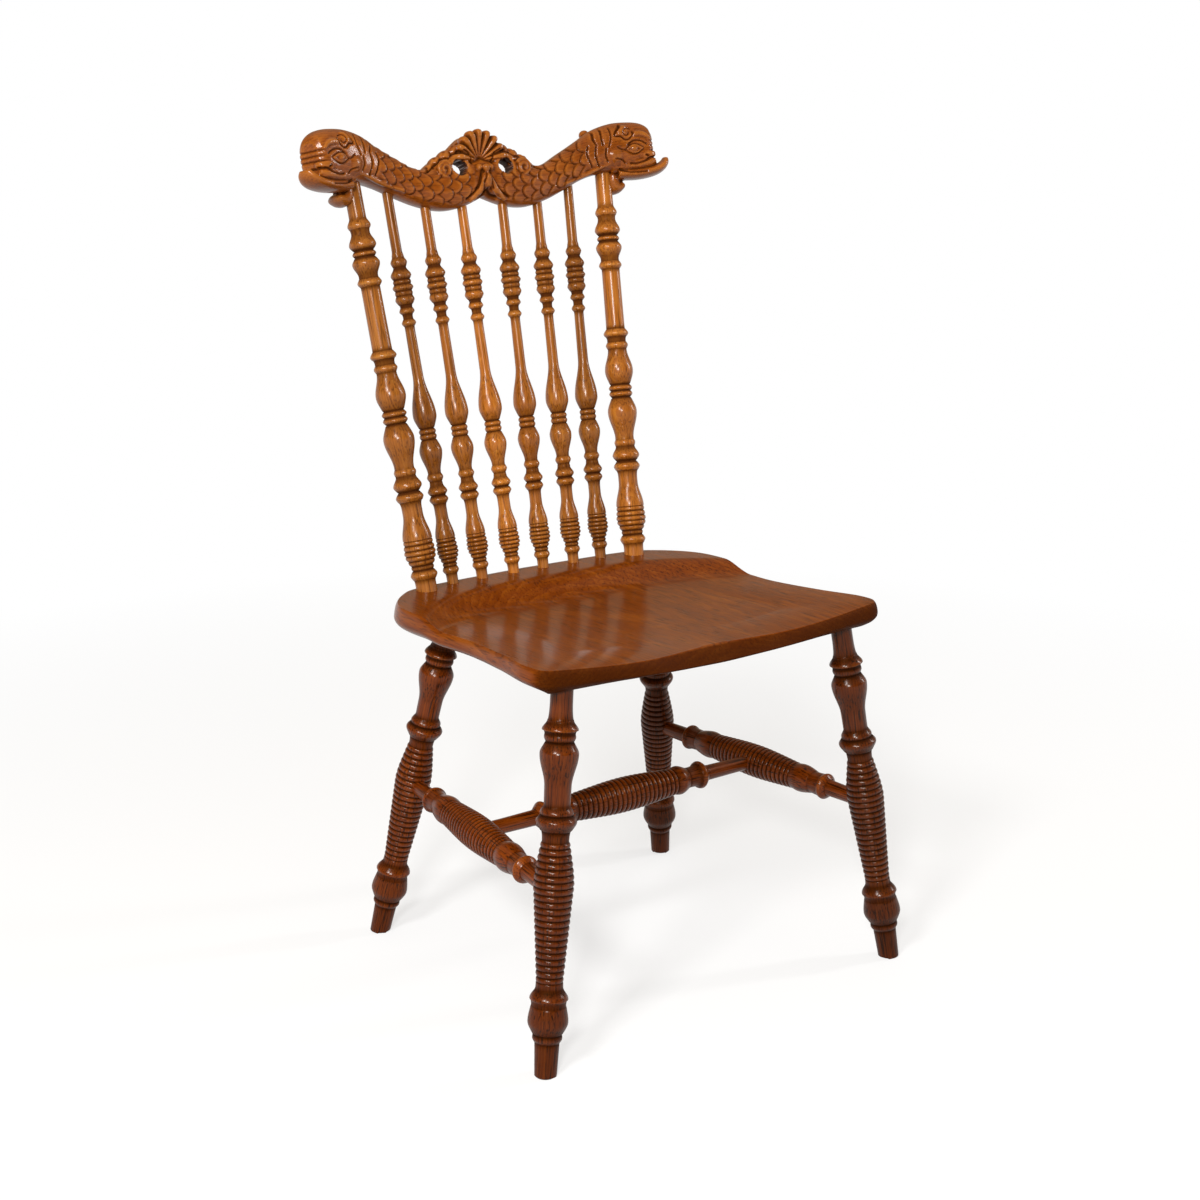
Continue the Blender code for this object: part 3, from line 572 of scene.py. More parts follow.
# %% Side and cross stretchers
STRETCHER_HEIGHT, CROSS_AT, SHORT_OF_AXIS, TENON_SHARE = 0.2065, -0.06, 0.006, 0.42
# Diameters of the plain end and of its tenon
SIDE_ENDS, CROSS_ENDS = (0.0204, 0.0194), (0.0195, 0.0185)
SIDE_BEADS = (
    ("plain", 4, 21.4), ("round", 7, 33.2), ("round", 3, 31.6), ("cove", 17, 28),
    ("belly", 19.5, 36), ("round", 11, 33),
)
CROSS_BEADS = (
    ("plain", 4, 20.2), ("round", 3, 26), ("round", 6.5, 35.6), ("round", 3, 33.8),
    ("cove", 13.5, 26), ("plain", 6, 26.4), ("belly", 12.5, 37), ("round", 8.5, 33),
)
SIDE_BARREL = ("reeds", 143, 33, 42.4, 0.5, 20, "belly", "belly")
CROSS_BARREL = ("reeds", 156, 33, 44.1, 0.5, 22, "belly", "belly")
STRETCHER_SIDES = 48


def stretcher(name, beads, barrel, end_sizes, start, end):
    """A barrel between beads and their mirror image, with a tenon at each end."""
    end_diameter, tenon = end_sizes
    begins = [end_diameter * 1000] + [row[2] for row in beads[:-1]]
    back = [(form, length, begin) for (form, length, size), begin in zip(beads, begins)]
    rows = (*beads, barrel, *reversed(back))
    along = (end - start).normalized()
    start, end = start + along * SHORT_OF_AXIS, end - along * SHORT_OF_AXIS
    length = (end - start).length
    plain = (length - length_of(rows)) / 2
    profile = [(0.0, tenon), (TENON_SHARE * plain, tenon)]
    profile += profile_of(rows, plain, end_diameter)
    profile += [(length - TENON_SHARE * plain, tenon), (length, tenon)]
    return turn_piece(name, profile, start, end, dark_oak, STRETCHER_SIDES)


meeting = []
for side_name, side in SIDES:
    ends = []
    for end_name in LEGS:
        foot, meets = leg_axes[end_name, side_name]
        ends.append(foot.lerp(meets, STRETCHER_HEIGHT / meets.z))
    stretcher(f"stretcher_{side_name}", SIDE_BEADS, SIDE_BARREL, SIDE_ENDS, *ends)
    meeting.append(ends[0].lerp(ends[1], (CROSS_AT - ends[0].y) / (ends[1].y - ends[0].y)))
stretcher("stretcher_cross", CROSS_BEADS, CROSS_BARREL, CROSS_ENDS, *meeting)
print("pieces so far:", len(made_pieces))

# %% [markdown]
# ## Posts and spindles
# The back leans, and its posts and spindles spread a little towards the top. Below and above
# a slim shaft they carry a stack of vases and rings. The shaft simply fills what is left
# between the two stacks, so one list serves every length.

# %% Turnings of the back
POST_BELOW = (
    ("plain", 9, 26.2), ("cove", 5, 28.5), ("round", 5.5, 33.9), ("round", 5.5, 27.7),
    ("reeds", 39.4, 37, 39.8, 0.56, 6, "ease", "ease"), ("ease", 31.6, 25.5), ("plain", 8, 25.5),
    ("cove", 8.5, 30), ("round", 5, 34.9), ("round", 7, 25.7), ("round", 7.5, 35.9),
    ("ease", 12.5, 25.2), ("round", 4.8, 28.1), ("round", 4, 24.8), ("plain", 2.2, 24.7),
    ("ease", 35, 38.9), ("belly", 19, 24.3), ("round", 4.8, 31.3), ("round", 4, 26.1),
    ("round", 3.7, 31.3), ("round", 4.5, 25.1), ("belly", 18.5, 37.6), ("ease", 29, 25),
    ("round", 5, 29.8), ("round", 4.5, 24.8), ("plain", 2, 24.8), ("cove", 5.5, 29.4),
    ("round", 3.3, 33.2), ("round", 6.7, 24.8),
)
POST_ABOVE = (
    ("round", 5, 30.4), ("round", 5.7, 24.3), ("plain", 2.5, 23.9), ("ease", 15.5, 34.5),
    ("round", 8, 24.7), ("round", 3.6, 29.7), ("round", 4.1, 23.8), ("round", 6.8, 33.8),
    ("ease", 15, 23.3), ("cove", 5, 26), ("round", 3.5, 29), ("ease", 10, 21.3),
)
SPINDLE_BELOW = (
    ("plain", 9, 14.5), ("cove", 3.5, 16.6), ("round", 4, 20.9), ("round", 4, 18),
    ("reeds", 37.5, 25.2, 27.8, 0.55, 7, "ease", "ease"), ("ease", 27.5, 16), ("plain", 10, 15.9),
    ("cove", 6.5, 18.6), ("round", 5, 24.2), ("round", 5, 18.2), ("round", 5, 25),
    ("ease", 9, 16.9), ("plain", 4, 16), ("round", 5.2, 20.8), ("round", 4.8, 16.6),
    ("ease", 28.5, 28.8), ("belly", 14.5, 18.3), ("round", 4.2, 21.9), ("round", 3, 18.9),
    ("round", 3.6, 21.8), ("round", 3.4, 17.5), ("belly", 16.8, 29.9), ("ease", 50, 13.6),
)
SPINDLE_ABOVE = (
    ("cove", 2.5, 14.2), ("round", 3.5, 18.2), ("round", 5, 12.6), ("plain", 2.5, 12.4),
    ("cove", 4, 15), ("round", 3, 19.4), ("round", 4.7, 15.1), ("cove", 4, 17.8),
    ("round", 6, 24.4), ("round", 4.8, 20.6), ("round", 3.2, 22.4), ("round", 2.8, 20.8),
    ("round", 4.3, 26.2), ("round", 4, 21), ("round", 3, 22.8), ("round", 2.8, 20.4),
    ("round", 5, 26), ("ease", 10.5, 16), ("round", 6, 20.9), ("ease", 7, 15.2), ("ease", 7, 13),
)
print("a post's turnings are", length_of(POST_BELOW + POST_ABOVE), "m long")

# %% Two posts and six spindles
CREST_HEIGHT, BACK_SOCKET, CREST_TENON = 0.93, 0.02, 0.026
SHAFT_STEPS = 16
# Diameters of foot, neck and shaft's upper end, and the length of the neck
POST_SIZES = (0.0265, 0.0213, 0.0239, 0.0253)
SPINDLE_SIZES = (0.0145, 0.0125, 0.0125, 0.0696)
POST_HEAD, POST_SOCKET_TOP, POST_SIDES = (0.188, 0.2465), 0.0295, 56
SPINDLE_FOOT_Y, SPINDLE_HEAD_Y, SPINDLE_SIDES = 0.1495, 0.2555, 44
# Each spindle's foot and head from the middle, and its socket's top above the reference height
SPINDLES = ((0.023, 0.031, -0.0031), (0.071, 0.085, -0.0021), (0.115, 0.136, 0.0163))


def shaft(low, high):
    """A plain shaft in short steps, so that its patina stays even."""
    return [(low[0] + (high[0] - low[0]) * k / SHAFT_STEPS,
             low[1] + (high[1] - low[1]) * k / SHAFT_STEPS) for k in range(1, SHAFT_STEPS)]


def upright(name, foot, head, below, above, sizes, top_of_socket, sides):
    """A post or spindle from its socket in the ledge to its socket in the crest."""
    foot_diameter, neck_diameter, shaft_top, neck = sizes
    ledge = Vector((*foot, board_top(foot[1])))
    crest = Vector((*head, CREST_HEIGHT))
    rise = (crest - ledge).length
    start = ledge - (crest - ledge).normalized() * BACK_SOCKET
    lower = profile_of(below, BACK_SOCKET, foot_diameter)
    upper = profile_of(above, BACK_SOCKET + rise - neck - length_of(above), shaft_top)
    top = BACK_SOCKET + rise + top_of_socket
    profile = [(0.0, foot_diameter)] + lower + shaft(lower[-1], upper[0]) + upper
    profile += shaft(upper[-1], (top - CREST_TENON, neck_diameter))
    profile += [(top - CREST_TENON, neck_diameter), (top, neck_diameter)]
    return turn_piece(name, profile, start, crest, golden_oak, sides)


for side_name, side in SIDES:
    foot, head = ((side * x, y) for x, y in (POST_FOOT, POST_HEAD))
    upright(f"post_{side_name}", foot, head, POST_BELOW, POST_ABOVE, POST_SIZES, POST_SOCKET_TOP,
            POST_SIDES)
    for number, (foot_x, head_x, socket_top) in enumerate(SPINDLES, 1):
        foot, head = (side * foot_x, SPINDLE_FOOT_Y), (side * head_x, SPINDLE_HEAD_Y)
        upright(f"spindle_{side_name}_{number}", foot, head, SPINDLE_BELOW, SPINDLE_ABOVE,
                SPINDLE_SIZES, socket_top, SPINDLE_SIDES)
print("turned pieces:", len(made_pieces))

# %% [markdown]
# ## Seat
# The seat is one thick oak board, hollowed like a shallow saddle and left flat at the back as
# a ledge for the spindles. It could be carved from a box with sculpting, but a grid bent to
# the seat's outline gives clean even faces. The grid's rim is then extruded ring by ring:
# over the edge, which a crease parts from the seat at the middle of the front, down the
# undercut side and onto the flat underside.

# %% Outline and sitting surface
def metres(values):
    """Turns a table in millimetres into metres."""
    return tuple(map(metres, values)) if isinstance(values, tuple) else values / 1000


SEAT_PLAN = metres((
    (0, 168), (150, 160), (200, 138), (236, 83), (238, 0), (234, -70), (241, -150), (251, -215),
    (243, -248), (205, -253), (100, -258), (0, -260),
))
SEAT_MIDDLE = Vector((0.0, -0.05))
SEAT_HALF_WIDTH, SEAT_FRONT = 0.251, -0.26
LEDGE_FRONT, LEDGE_WINGS = 0.1105, 0.098
DISH_DEPTH, DISH_SLOPE, SIDE_RISE, HORN_RISE = 0.021, 0.06, 0.009, 0.006
HORN_AT = 0.16
FACING_ROUNDS = 300


def curve_through(points, steps):
    """A smooth open curve through the points."""
    points = [Vector(p) for p in points]
    ends = [points[0] * 2 - points[1], *points, points[-1] * 2 - points[-2]]
    found = [points[0]]
    for before, start, end, after in zip(ends, ends[1:], ends[2:], ends[3:]):
        for step in range(1, steps + 1):
            t = step / steps
            found.append(0.5 * ((2 * start) + (end - before) * t
                                + (2 * before - 5 * start + 4 * end - after) * t ** 2
                                + (3 * start - before - 3 * end + after) * t ** 3))
    return found


def smooth_step(t):
    t = min(max(t, 0.0), 1.0)
    return t * t * (3 - 2 * t)


def seat_top(x, y):
    """Height of the hollow, whose sides rise towards the front."""
    across = min(abs(x) / SEAT_HALF_WIDTH, 1.0)
    slope = smooth_step((LEDGE_FRONT - LEDGE_WINGS * across ** 3.6 - y) / DISH_SLOPE)
    forward = smooth_step((LEDGE_FRONT - y) / (LEDGE_FRONT - SEAT_FRONT))
    return board_top(y) - slope * (DISH_DEPTH - (SIDE_RISE + HORN_RISE * forward) * across ** 2)


half = curve_through(SEAT_PLAN, 24)
outline = np.array([(-p.x, p.y) for p in half[:0:-1]] + [tuple(p) for p in half[:-1]])
along = np.roll(outline, -1, axis=0) - np.roll(outline, 1, axis=0)
outward = np.stack((-along[:, 1], along[:, 0]), axis=1)
outward /= np.linalg.norm(outward, axis=1)[:, None]
for _ in range(FACING_ROUNDS):
    outward = (np.roll(outward, 1, axis=0) + 2 * outward + np.roll(outward, -1, axis=0)) / 4
outward /= np.linalg.norm(outward, axis=1)[:, None]
angles = np.arctan2(outline[:, 0] - SEAT_MIDDLE.x, SEAT_MIDDLE.y - outline[:, 1]) % (2 * math.pi)
order = np.argsort(angles)
angles, rim_table = angles[order], np.hstack((outline, outward))[order]


def rim_at(angle):
    """Point of the seat's outline in this direction from the middle, and the way it faces."""
    values = [np.interp(angle, angles, column, period=2 * math.pi) for column in rim_table.T]
    return Vector(values[:2]), Vector(values[2:]).normalized()


print("seat outline:", len(outline), "points")

# %% Shape of the seat's edge
def crease_of(point, facing):
    """How sharply the seat is parted from its edge: most at the middle of the front."""
    front = max(-facing.y, 0.0) ** 2 * math.exp(-(point.x / 0.15) ** 4)
    return max(front, 0.6 * facing.x ** 2)


def roll_of(point, facing):
    """Width of the edge's upper half: slim at the sides, broader at the middle of the front."""
    return 0.005 + 0.02 * max(-facing.y, 0.0) ** 2 * math.exp(-(point.x / 0.08) ** 2)


def undercut_of(point, facing):
    """How far the underside stands in from the edge."""
    middle = 0.012 if facing.y > 0 else 0.0045 + 0.0105 * smooth_step(abs(point.x) / HORN_AT)
    return middle + (0.032 - middle) * facing.x ** 2


def rim_place(point, facing, part, t):
    """A place on the edge: t is an angle in its upper part, a share of its lower part or
    a distance onto the underside."""
    roll, cut, crease = (f(point, facing) for f in (roll_of, undercut_of, crease_of))
    widest = 0.48 + 0.24 * facing.x ** 2 - 0.26 * crease
    if part == "upper":
        flat = 0.85 * crease
        straight = flat * 2 * t / math.pi
        inset = roll * (1 - (math.sin(t) * (1 - flat) + straight))
        share = 1 - (1 - widest) * ((1 - math.cos(t)) * (1 - flat) + straight)
    elif part == "lower":
        inset, share = cut * t ** 2.1, widest * (1 - t)
    else:
        inset, share = cut + t, 0.0
    inner, place = point - facing * roll, point - facing * inset
    bottom = underside(place.y)
    return Vector((place.x, place.y, bottom + (seat_top(inner.x, inner.y) - bottom) * share))


# Part of the edge, place in it, patina at the sides and at the front. At the sides the arris
# is worn lighter and the lower rings are painted darker towards the underside as painted shade;
# the front edge is painted dark all the way down as painted shade.
EDGE_RINGS = [("upper", t, 0.6 if 0.3 < t < 1.2 else 0.52, 0.14 - 0.08 * min(t, 1.0))
              for t in np.linspace(0.0, math.pi / 2, 9)[1:]]
EDGE_RINGS += [("lower", t, 0.46 - 0.14 * t ** 2, 0.06) for t in np.linspace(0.0, 0.95, 9)[1:]]
EDGE_RINGS += [("under", 0.002, 0.3, 0.06), ("under", 0.008, 0.2, 0.06)]
print("rings round the edge:", len(EDGE_RINGS))

# %% Bend a grid to the outline, then extrude its rim
SEAT_GRID, SWELL, SWELL_FROM = 120, 0.0048, 0.64
HORN_BACK, HORN_RUN = 0.04, 0.14


def verts_in(geom):
    return [v for v in geom if isinstance(v, bmesh.types.BMVert)]


bm = bmesh.new()
turn = bm.verts.layers.float.new("turn")
patina_and_painted_light = bm.verts.layers.float.new("patina_and_painted_light")
bmesh.ops.create_grid(bm, x_segments=SEAT_GRID, y_segments=SEAT_GRID, size=1.0)
for vert in bm.verts:
    u, v = vert.co.x, vert.co.y
    u, v = u * math.sqrt(1 - v * v / 2), v * math.sqrt(1 - u * u / 2)
    share = min(math.hypot(u, v), 1.0)
    vert[turn] = math.atan2(u, -v) % (2 * math.pi)
    vert[patina_and_painted_light] = 0.5
    point, facing = rim_at(vert[turn])
    place = SEAT_MIDDLE + (point - facing * roll_of(point, facing) - SEAT_MIDDLE) * share
    near_rim = min(max((share - SWELL_FROM) / (1 - SWELL_FROM), 0.0), 1.0)
    horn = smooth_step((HORN_BACK - place.y) / HORN_RUN) * smooth_step(abs(place.x) / HORN_AT)
    swell = SWELL * near_rim * (1 - near_rim) * horn
    vert.co = (place.x, place.y, seat_top(place.x, place.y) + swell)

rim = [e for e in bm.edges if e.is_boundary]
for part, t, worn_and_shaded_at_sides, painted_shade_at_front in EDGE_RINGS:
    grown = bmesh.ops.extrude_edge_only(bm, edges=rim)["geom"]
    rim = edges_in(grown)
    for vert in verts_in(grown):
        point, facing = rim_at(vert[turn])
        vert.co = rim_place(point, facing, part, t)
        # Painted shade: the front-facing edge and the underside are painted darker.
        vert[patina_and_painted_light] = worn_and_shaded_at_sides + (painted_shade_at_front - worn_and_shaded_at_sides) * smooth_step(-1.4 * facing.y)
bmesh.ops.contextual_create(bm, geom=rim)
bmesh.ops.recalc_face_normals(bm, faces=bm.faces)
lay_grain(bm, Matrix(((1, 0, 0), (0, 0, 1), (0, 1, 0))), from_heart=0.16)
mesh = mesh_from(bm, "seat_board")
mesh.shade_smooth()
mesh.set_sharp_from_angle(angle=math.radians(26))
keep_piece("seat_board", mesh, seat_oak, "seat")
print("seat faces:", len(mesh.polygons))

# %% [markdown]
# ## Carved crest rail
# The rail is carved from one thick plank as two scaled fish, tails together in the middle under
# a fan shell, heads turned outwards. A carver roughs out the masses first and cuts the fine
# lines last, and so do these cells: closed lumps and tubes are piled up, a voxel remesh
# fuses them into one skin, and the scales and strokes are then cut into that skin.

# %% The rail's body, section by section
# Distance from the middle, underside, top, lean towards the sitter, half depth
CREST_BODY = metres((
    (0, -8, 40, 0, 19), (30, -19, 33, 0, 19.5), (62, -23, 30, 0, 20), (95, -16, 30, 0, 19),
    (125, -4.5, 44, 1, 19), (152, 7, 58, 4, 20), (175, 13, 71, 9, 22), (200, 14, 77.7, 16.5, 23.5),
    (222, 13.5, 78.3, 23, 23.5), (239, 15, 75.7, 29, 22), (249.5, 18.5, 69.5, 33, 19),
    (254, 25, 61, 35, 13),
))
SQUARENESS, BODY_SIDES = 2.5, 44
body_rows = curve_through(CREST_BODY, 6)
body_table = np.array([tuple(r) for r in body_rows])


def body_at(x):
    """Underside, top, lean towards the sitter and half depth of the rail's body at x."""
    return [np.interp(np.abs(x), body_table[:, 0], body_table[:, k]) for k in (1, 2, 3, 4)]


def on_face(x, height, proud=0.0):
    """A point on the front of the rail's body, or standing proud of it."""
    low, high, lean, depth = body_at(x)
    up = min(abs(height - (low + high) / 2) / ((high - low) / 2), 0.98)
    return Vector((x, -lean - depth * (1 - up ** SQUARENESS) ** (1 / SQUARENESS) - proud, height))


def bridge(bm, last, verts):
    """Joins a new ring of points to the last ring's edges, and gives the new ring's edges."""
    edges = list({e for v in verts for e in v.link_edges})
    if last:
        bmesh.ops.bridge_loops(bm, edges=last + edges)
    return edges


def fish_bodies(bm):
    """The rail from the left snout to the right one."""
    rows = [Vector((-r[0], *r[1:])) for r in reversed(body_rows[1:])] + body_rows
    last = None
    for i, (x, low, high, lean, depth) in enumerate(rows):
        before, after = rows[max(i - 1, 0)], rows[min(i + 1, len(rows) - 1)]
        heading = Vector((after[0] - before[0], before[3] - after[3])).normalized()
        made = bmesh.ops.create_circle(bm, segments=BODY_SIDES, radius=1.0,
                                       cap_ends=i in (0, len(rows) - 1))["verts"]
        for vert in made:
            across, up = (math.copysign(abs(c) ** (2 / SQUARENESS), c) for c in vert.co.xy)
            vert.co = (x - heading.y * across * depth, -lean + heading.x * across * depth,
                       (low + high) / 2 + up * (high - low) / 2)
        last = bridge(bm, last, made)


print("body sections:", 2 * len(body_rows) - 1)

# %% Lumps and tubes for the raised carving
TUBE_SIDES = 14


def lump(bm, place, radii, tilt=0.0):
    """A rounded mass; tilt turns it in the plane of the back."""
    matrix = Matrix.Translation(place) @ Matrix.Rotation(tilt, 4, "Y") @ Matrix.Diagonal((*radii, 1.0))
    bmesh.ops.create_uvsphere(bm, u_segments=20, v_segments=12, radius=1.0, matrix=matrix)


def tube(bm, path, radii, sides=TUBE_SIDES):
    """A closed tube along the path, with (across, up) radii at each point."""
    last = None
    for i, (place, (wide, high)) in enumerate(zip(path, radii)):
        along = path[min(i + 1, len(path) - 1)] - path[max(i - 1, 0)]
        matrix = Matrix.Translation(place) @ along.to_track_quat("Z", "Y").to_matrix().to_4x4()
        matrix = matrix @ Matrix.Diagonal((wide, high, 1.0, 1.0))
        made = bmesh.ops.create_circle(bm, segments=sides, radius=1.0, matrix=matrix,
                                       cap_ends=i in (0, len(path) - 1))["verts"]
        last = bridge(bm, last, made)


def ridge(bm, points, radius, proud=0.0):
    """A tapering ridge on the front of the body through (x, height) points."""
    path = [on_face(p.x, p.y, proud) for p in curve_through(points, 5)]
    count = len(path) - 1
    swell = [math.sin(math.pi * min(max(k / count, 0.06), 0.94)) for k in range(count + 1)]
    tube(bm, path, [(radius * (0.45 + 0.55 * s),) * 2 for s in swell])


def scroll(bm, centre, outer, inner, radius, turns, begin, rise):
    """A flat scroll that winds in towards its centre."""
    steps = int(20 * turns)
    path = []
    for k in range(steps + 1):
        angle = begin - 2 * math.pi * turns * k / steps
        reach = outer + (inner - outer) * k / steps
        offset = Vector((reach * math.cos(angle), -rise * k / steps, reach * math.sin(angle)))
        path.append(Vector(centre) + offset)
    tube(bm, path, [(radius * (1 - 0.35 * k / steps),) * 2 for k in range(steps + 1)])


print("carving tools ready")

# %% The head: lip, jaw, brow, eye, muzzle, ear, chin and gills
# Along, height, half thickness, half width
LIP = metres((
    (204, 10.5, 7, 17), (228, 9, 7.2, 19), (246, 10.5, 7, 18.8), (258, 14.2, 6.6, 17),
    (265.5, 20.5, 5.6, 13.5), (268, 26.8, 3.6, 8.5),
))
JAW = metres((
    (196, 21, 10, 15), (226, 21.5, 11, 17.5), (244, 23, 10.5, 17), (252.5, 26, 8, 13),
))
HEAD_LEAN, JAW_ROOT, JAW_MIDDLE = -0.0125 / 0.031, 0.206, -0.02
# Along, height, radius
CHIN = metres(((201, 13, 11.5), (200, 4, 11), (202, -2.5, 10.5), (206.5, -4.5, 8.8), (211, -3.5, 6.6)))
# Points of a ridge, its radius, how far it stands proud
BROW_AND_LIDS = metres((
    (((213, 54.5), (220, 59), (229, 59.6), (237, 56), (242, 49)), 4.2, -0.6),
    (((208, 39.8), (213.5, 43.6), (220, 44.4), (229, 40.8)), 2.1, 1),
    (((208, 39.2), (215, 36.2), (221.5, 36), (229, 40.2)), 1.8, 0.7),
))
GILLS = metres((
    (((118, 1.5), (140, 8.5), (156, 14), (172, 20), (188, 24)), 3.6, -0.6),
    (((172, 64), (170, 57), (172.5, 49)), 3.6, -1.4),
    (((184, 66), (183.5, 56), (181.5, 45)), 3.6, -1.4),
))
# Along, height, how far it stands proud, radii
MUZZLE_CHEEK_EAR = metres((
    (240, 32, -6.8, 12.5, 9.5, 8.5), (199, 36, -9.5, 16.5, 12, 14), (209.5, 62.5, -4.6, 11.8, 6.5, 10.5),
))


def carve_head(bm):
    """The right-hand head."""
    for rows in (LIP, JAW):
        rows = curve_through(rows, 4)
        path = [Vector((along, JAW_MIDDLE + HEAD_LEAN * (along - JAW_ROOT), height))
                for along, height, half, wide in rows]
        tube(bm, path, [(wide, half) for along, height, half, wide in rows], sides=20)
    for row in BROW_AND_LIDS:
        ridge(bm, *row)
    eye, nape = on_face(0.2185, 0.0404, -0.0014), (0.1765, 0.006, 0.068)
    lump(bm, eye, (0.0062, 0.0052, 0.0042), 0.1)
    for along, height, proud, *radii in MUZZLE_CHEEK_EAR:
        lump(bm, on_face(along, height, proud), radii)
    for along, height, radius in curve_through(CHIN, 2):
        lump(bm, (along, -0.006, height), (radius, 0.018, radius))
    lump(bm, nape, (0.0072, 0.0075, 0.0068))
    for row in GILLS:
        ridge(bm, *row)


print("lip reaches x =", LIP[-1][0])

# %% The middle: cresting and fan shell
CRESTING = metres((
    (0, 71.5), (14, 70), (26, 62.5), (38, 52.5), (50, 47.8), (69, 36.5), (81, 26.5), (88, 18),
))
SHELL_BASE, SHELL_REACH, SHELL_LOBE = Vector((0.0, 0.0375)), 0.0335, (0.0062, 0.01, 0.0062)
FLUTE_STEP, SIDE_FLUTES = 20.5, 4


def carve_cresting(bm):
    """The pierced plate behind the carving: one face, extruded."""
    half = curve_through(CRESTING, 4)
    end = CRESTING[-1][0]
    edge = [(-x, z) for x, z in reversed(half[1:])] + [(x, z) for x, z in half]
    edge += [(end, 0.004), (-end, 0.004)]
    front = bm.faces.new([bm.verts.new((x, 0.0005, z)) for x, z in edge])
    grown = bmesh.ops.extrude_face_region(bm, geom=[front])["geom"]
    bmesh.ops.translate(bm, vec=(0.0, 0.018, 0.0), verts=verts_in(grown))


def carve_shell(bm):
    """The scoop of the fan, and a lobe of its rim for each flute. The rim flares forward."""
    lump(bm, (0.0, 0.005, 0.05), (0.029, 0.011, 0.0235))
    foot = Vector((SHELL_BASE.x, -0.003, SHELL_BASE.y))
    for k in range(-SIDE_FLUTES, SIDE_FLUTES + 1):
        turn = math.radians(FLUTE_STEP * k)
        reach = SHELL_REACH - 0.002 * (abs(k) / SIDE_FLUTES) ** 1.5
        out = Vector((math.sin(turn), 0.0, math.cos(turn)))
        tip = foot + out * reach - Vector((0.0, 0.0085, 0.0))
        path = [foot.lerp(tip, t) for t in (0.15, 0.5, 1.0)]
        tube(bm, path, [(0.003, 0.003), (0.0055, 0.004), (0.0075, 0.0055)])
        lump(bm, tip + Vector((0.0, 0.003, 0.0)), SHELL_LOBE, turn)


print("shell rises to", round(SHELL_BASE.y + SHELL_REACH + SHELL_LOBE[2], 4))

# %% The middle: volutes, leaves and knot
PIERCING, PIERCING_SIZE, RIM_SIZE = Vector((0.0345, 0.0285)), (0.0092, 0.0104), (0.0128, 0.0142)
VOLUTE, VOLUTE_BODY, VOLUTE_FRONT = Vector((0.059, 0.0265)), -0.009, -0.018
# Along, height, tilt, size
EDGE_LEAVES = ((0.037, 0.0505, 0.75, 1.0), (0.051, 0.044, 0.75, 1.0), (0.0655, 0.0365, 0.8, 0.95),
               (0.0755, 0.0285, 0.8, 0.85), (0.085, 0.0235, 0.5, 0.75))
INNER_LEAVES = ((0.02, 0.042, 0.9), (0.024, 0.049, 0.7), (0.048, 0.04, 0.6))
TAIL = metres(((3, 19), (7.5, 7), (15, -5), (27, -14)))


def carve_middle(bm):
    """Right half: the volute, the piercing's rim and the leaves along the edge."""
    lump(bm, (VOLUTE.x, VOLUTE_BODY, VOLUTE.y), (0.013, 0.011, 0.013))
    scroll(bm, (VOLUTE.x, VOLUTE_FRONT, VOLUTE.y), outer=0.0105, inner=0.003, radius=0.0026,
           turns=1.6, begin=2.6, rise=0.002)
    rim = [Vector((PIERCING.x + RIM_SIZE[0] * math.cos(a), -0.011,
                   PIERCING.y + RIM_SIZE[1] * math.sin(a))) for a in np.linspace(0.0, 2 * math.pi, 33)]
    tube(bm, rim, [(0.004, 0.004)] * len(rim))
    for x, z, tilt, size in EDGE_LEAVES:
        lump(bm, (x, -0.001, z), (0.0105 * size, 0.012 * size, 0.0064 * size), tilt)
    for x, z, tilt in INNER_LEAVES:
        lump(bm, (x, -0.006, z), (0.009, 0.0085, 0.0058), tilt)
    lump(bm, on_face(0.0085, 0.0275), (0.004, 0.006, 0.005), -0.5)
    ridge(bm, TAIL, 0.0046, 0.0004)


def carve_knot(bm):
    """The round bead under the shell, and the leaf that hangs from it."""
    lump(bm, on_face(0.0, 0.0265, 0.0035), (0.005, 0.005, 0.005))
    leaf = metres(((21.5, 2), (14, 4.5), (5, 2.5), (-3, -3)))
    tube(bm, [on_face(0.0, height, proud) for height, proud in leaf],
         [(0.0028, 0.003), (0.0062, 0.0042), (0.005, 0.004), (0.002, 0.003)])


print("leaves on each side:", len(EDGE_LEAVES) + len(INNER_LEAVES))

# %% Pile up the masses, fuse them and pierce them
FUSE_VOXEL = 0.00112
PIERCING_DEPTH, PIERCING_FLARE = 0.048, 1.15

bm = bmesh.new()
carve_head(bm)
carve_middle(bm)
bmesh.ops.mirror(bm, geom=bm.verts[:] + bm.edges[:] + bm.faces[:], axis="X", merge_dist=-1.0)
for carve in (fish_bodies, carve_cresting, carve_shell, carve_knot):
    carve(bm)
bmesh.ops.recalc_face_normals(bm, faces=bm.faces)
masses = add_object("crest_masses", mesh_from(bm, "crest_masses"))

bm = bmesh.new()
for side_name, side in SIDES:
    matrix = (Matrix.Translation((side * PIERCING.x, 0.0, PIERCING.y))
              @ Matrix.Rotation(math.pi / 2, 4, "X") @ Matrix.Diagonal((*PIERCING_SIZE, 1.0, 1.0)))
    hole = bmesh.ops.create_cone(bm, cap_ends=True, segments=48, radius1=1.0, radius2=1.0,
                                 depth=PIERCING_DEPTH, matrix=matrix)["verts"]
    for vert in hole:
        if vert.co.y > 0:
            vert.co.x += (vert.co.x - side * PIERCING.x) * PIERCING_FLARE
piercings = add_object("piercings", mesh_from(bm, "piercings"))

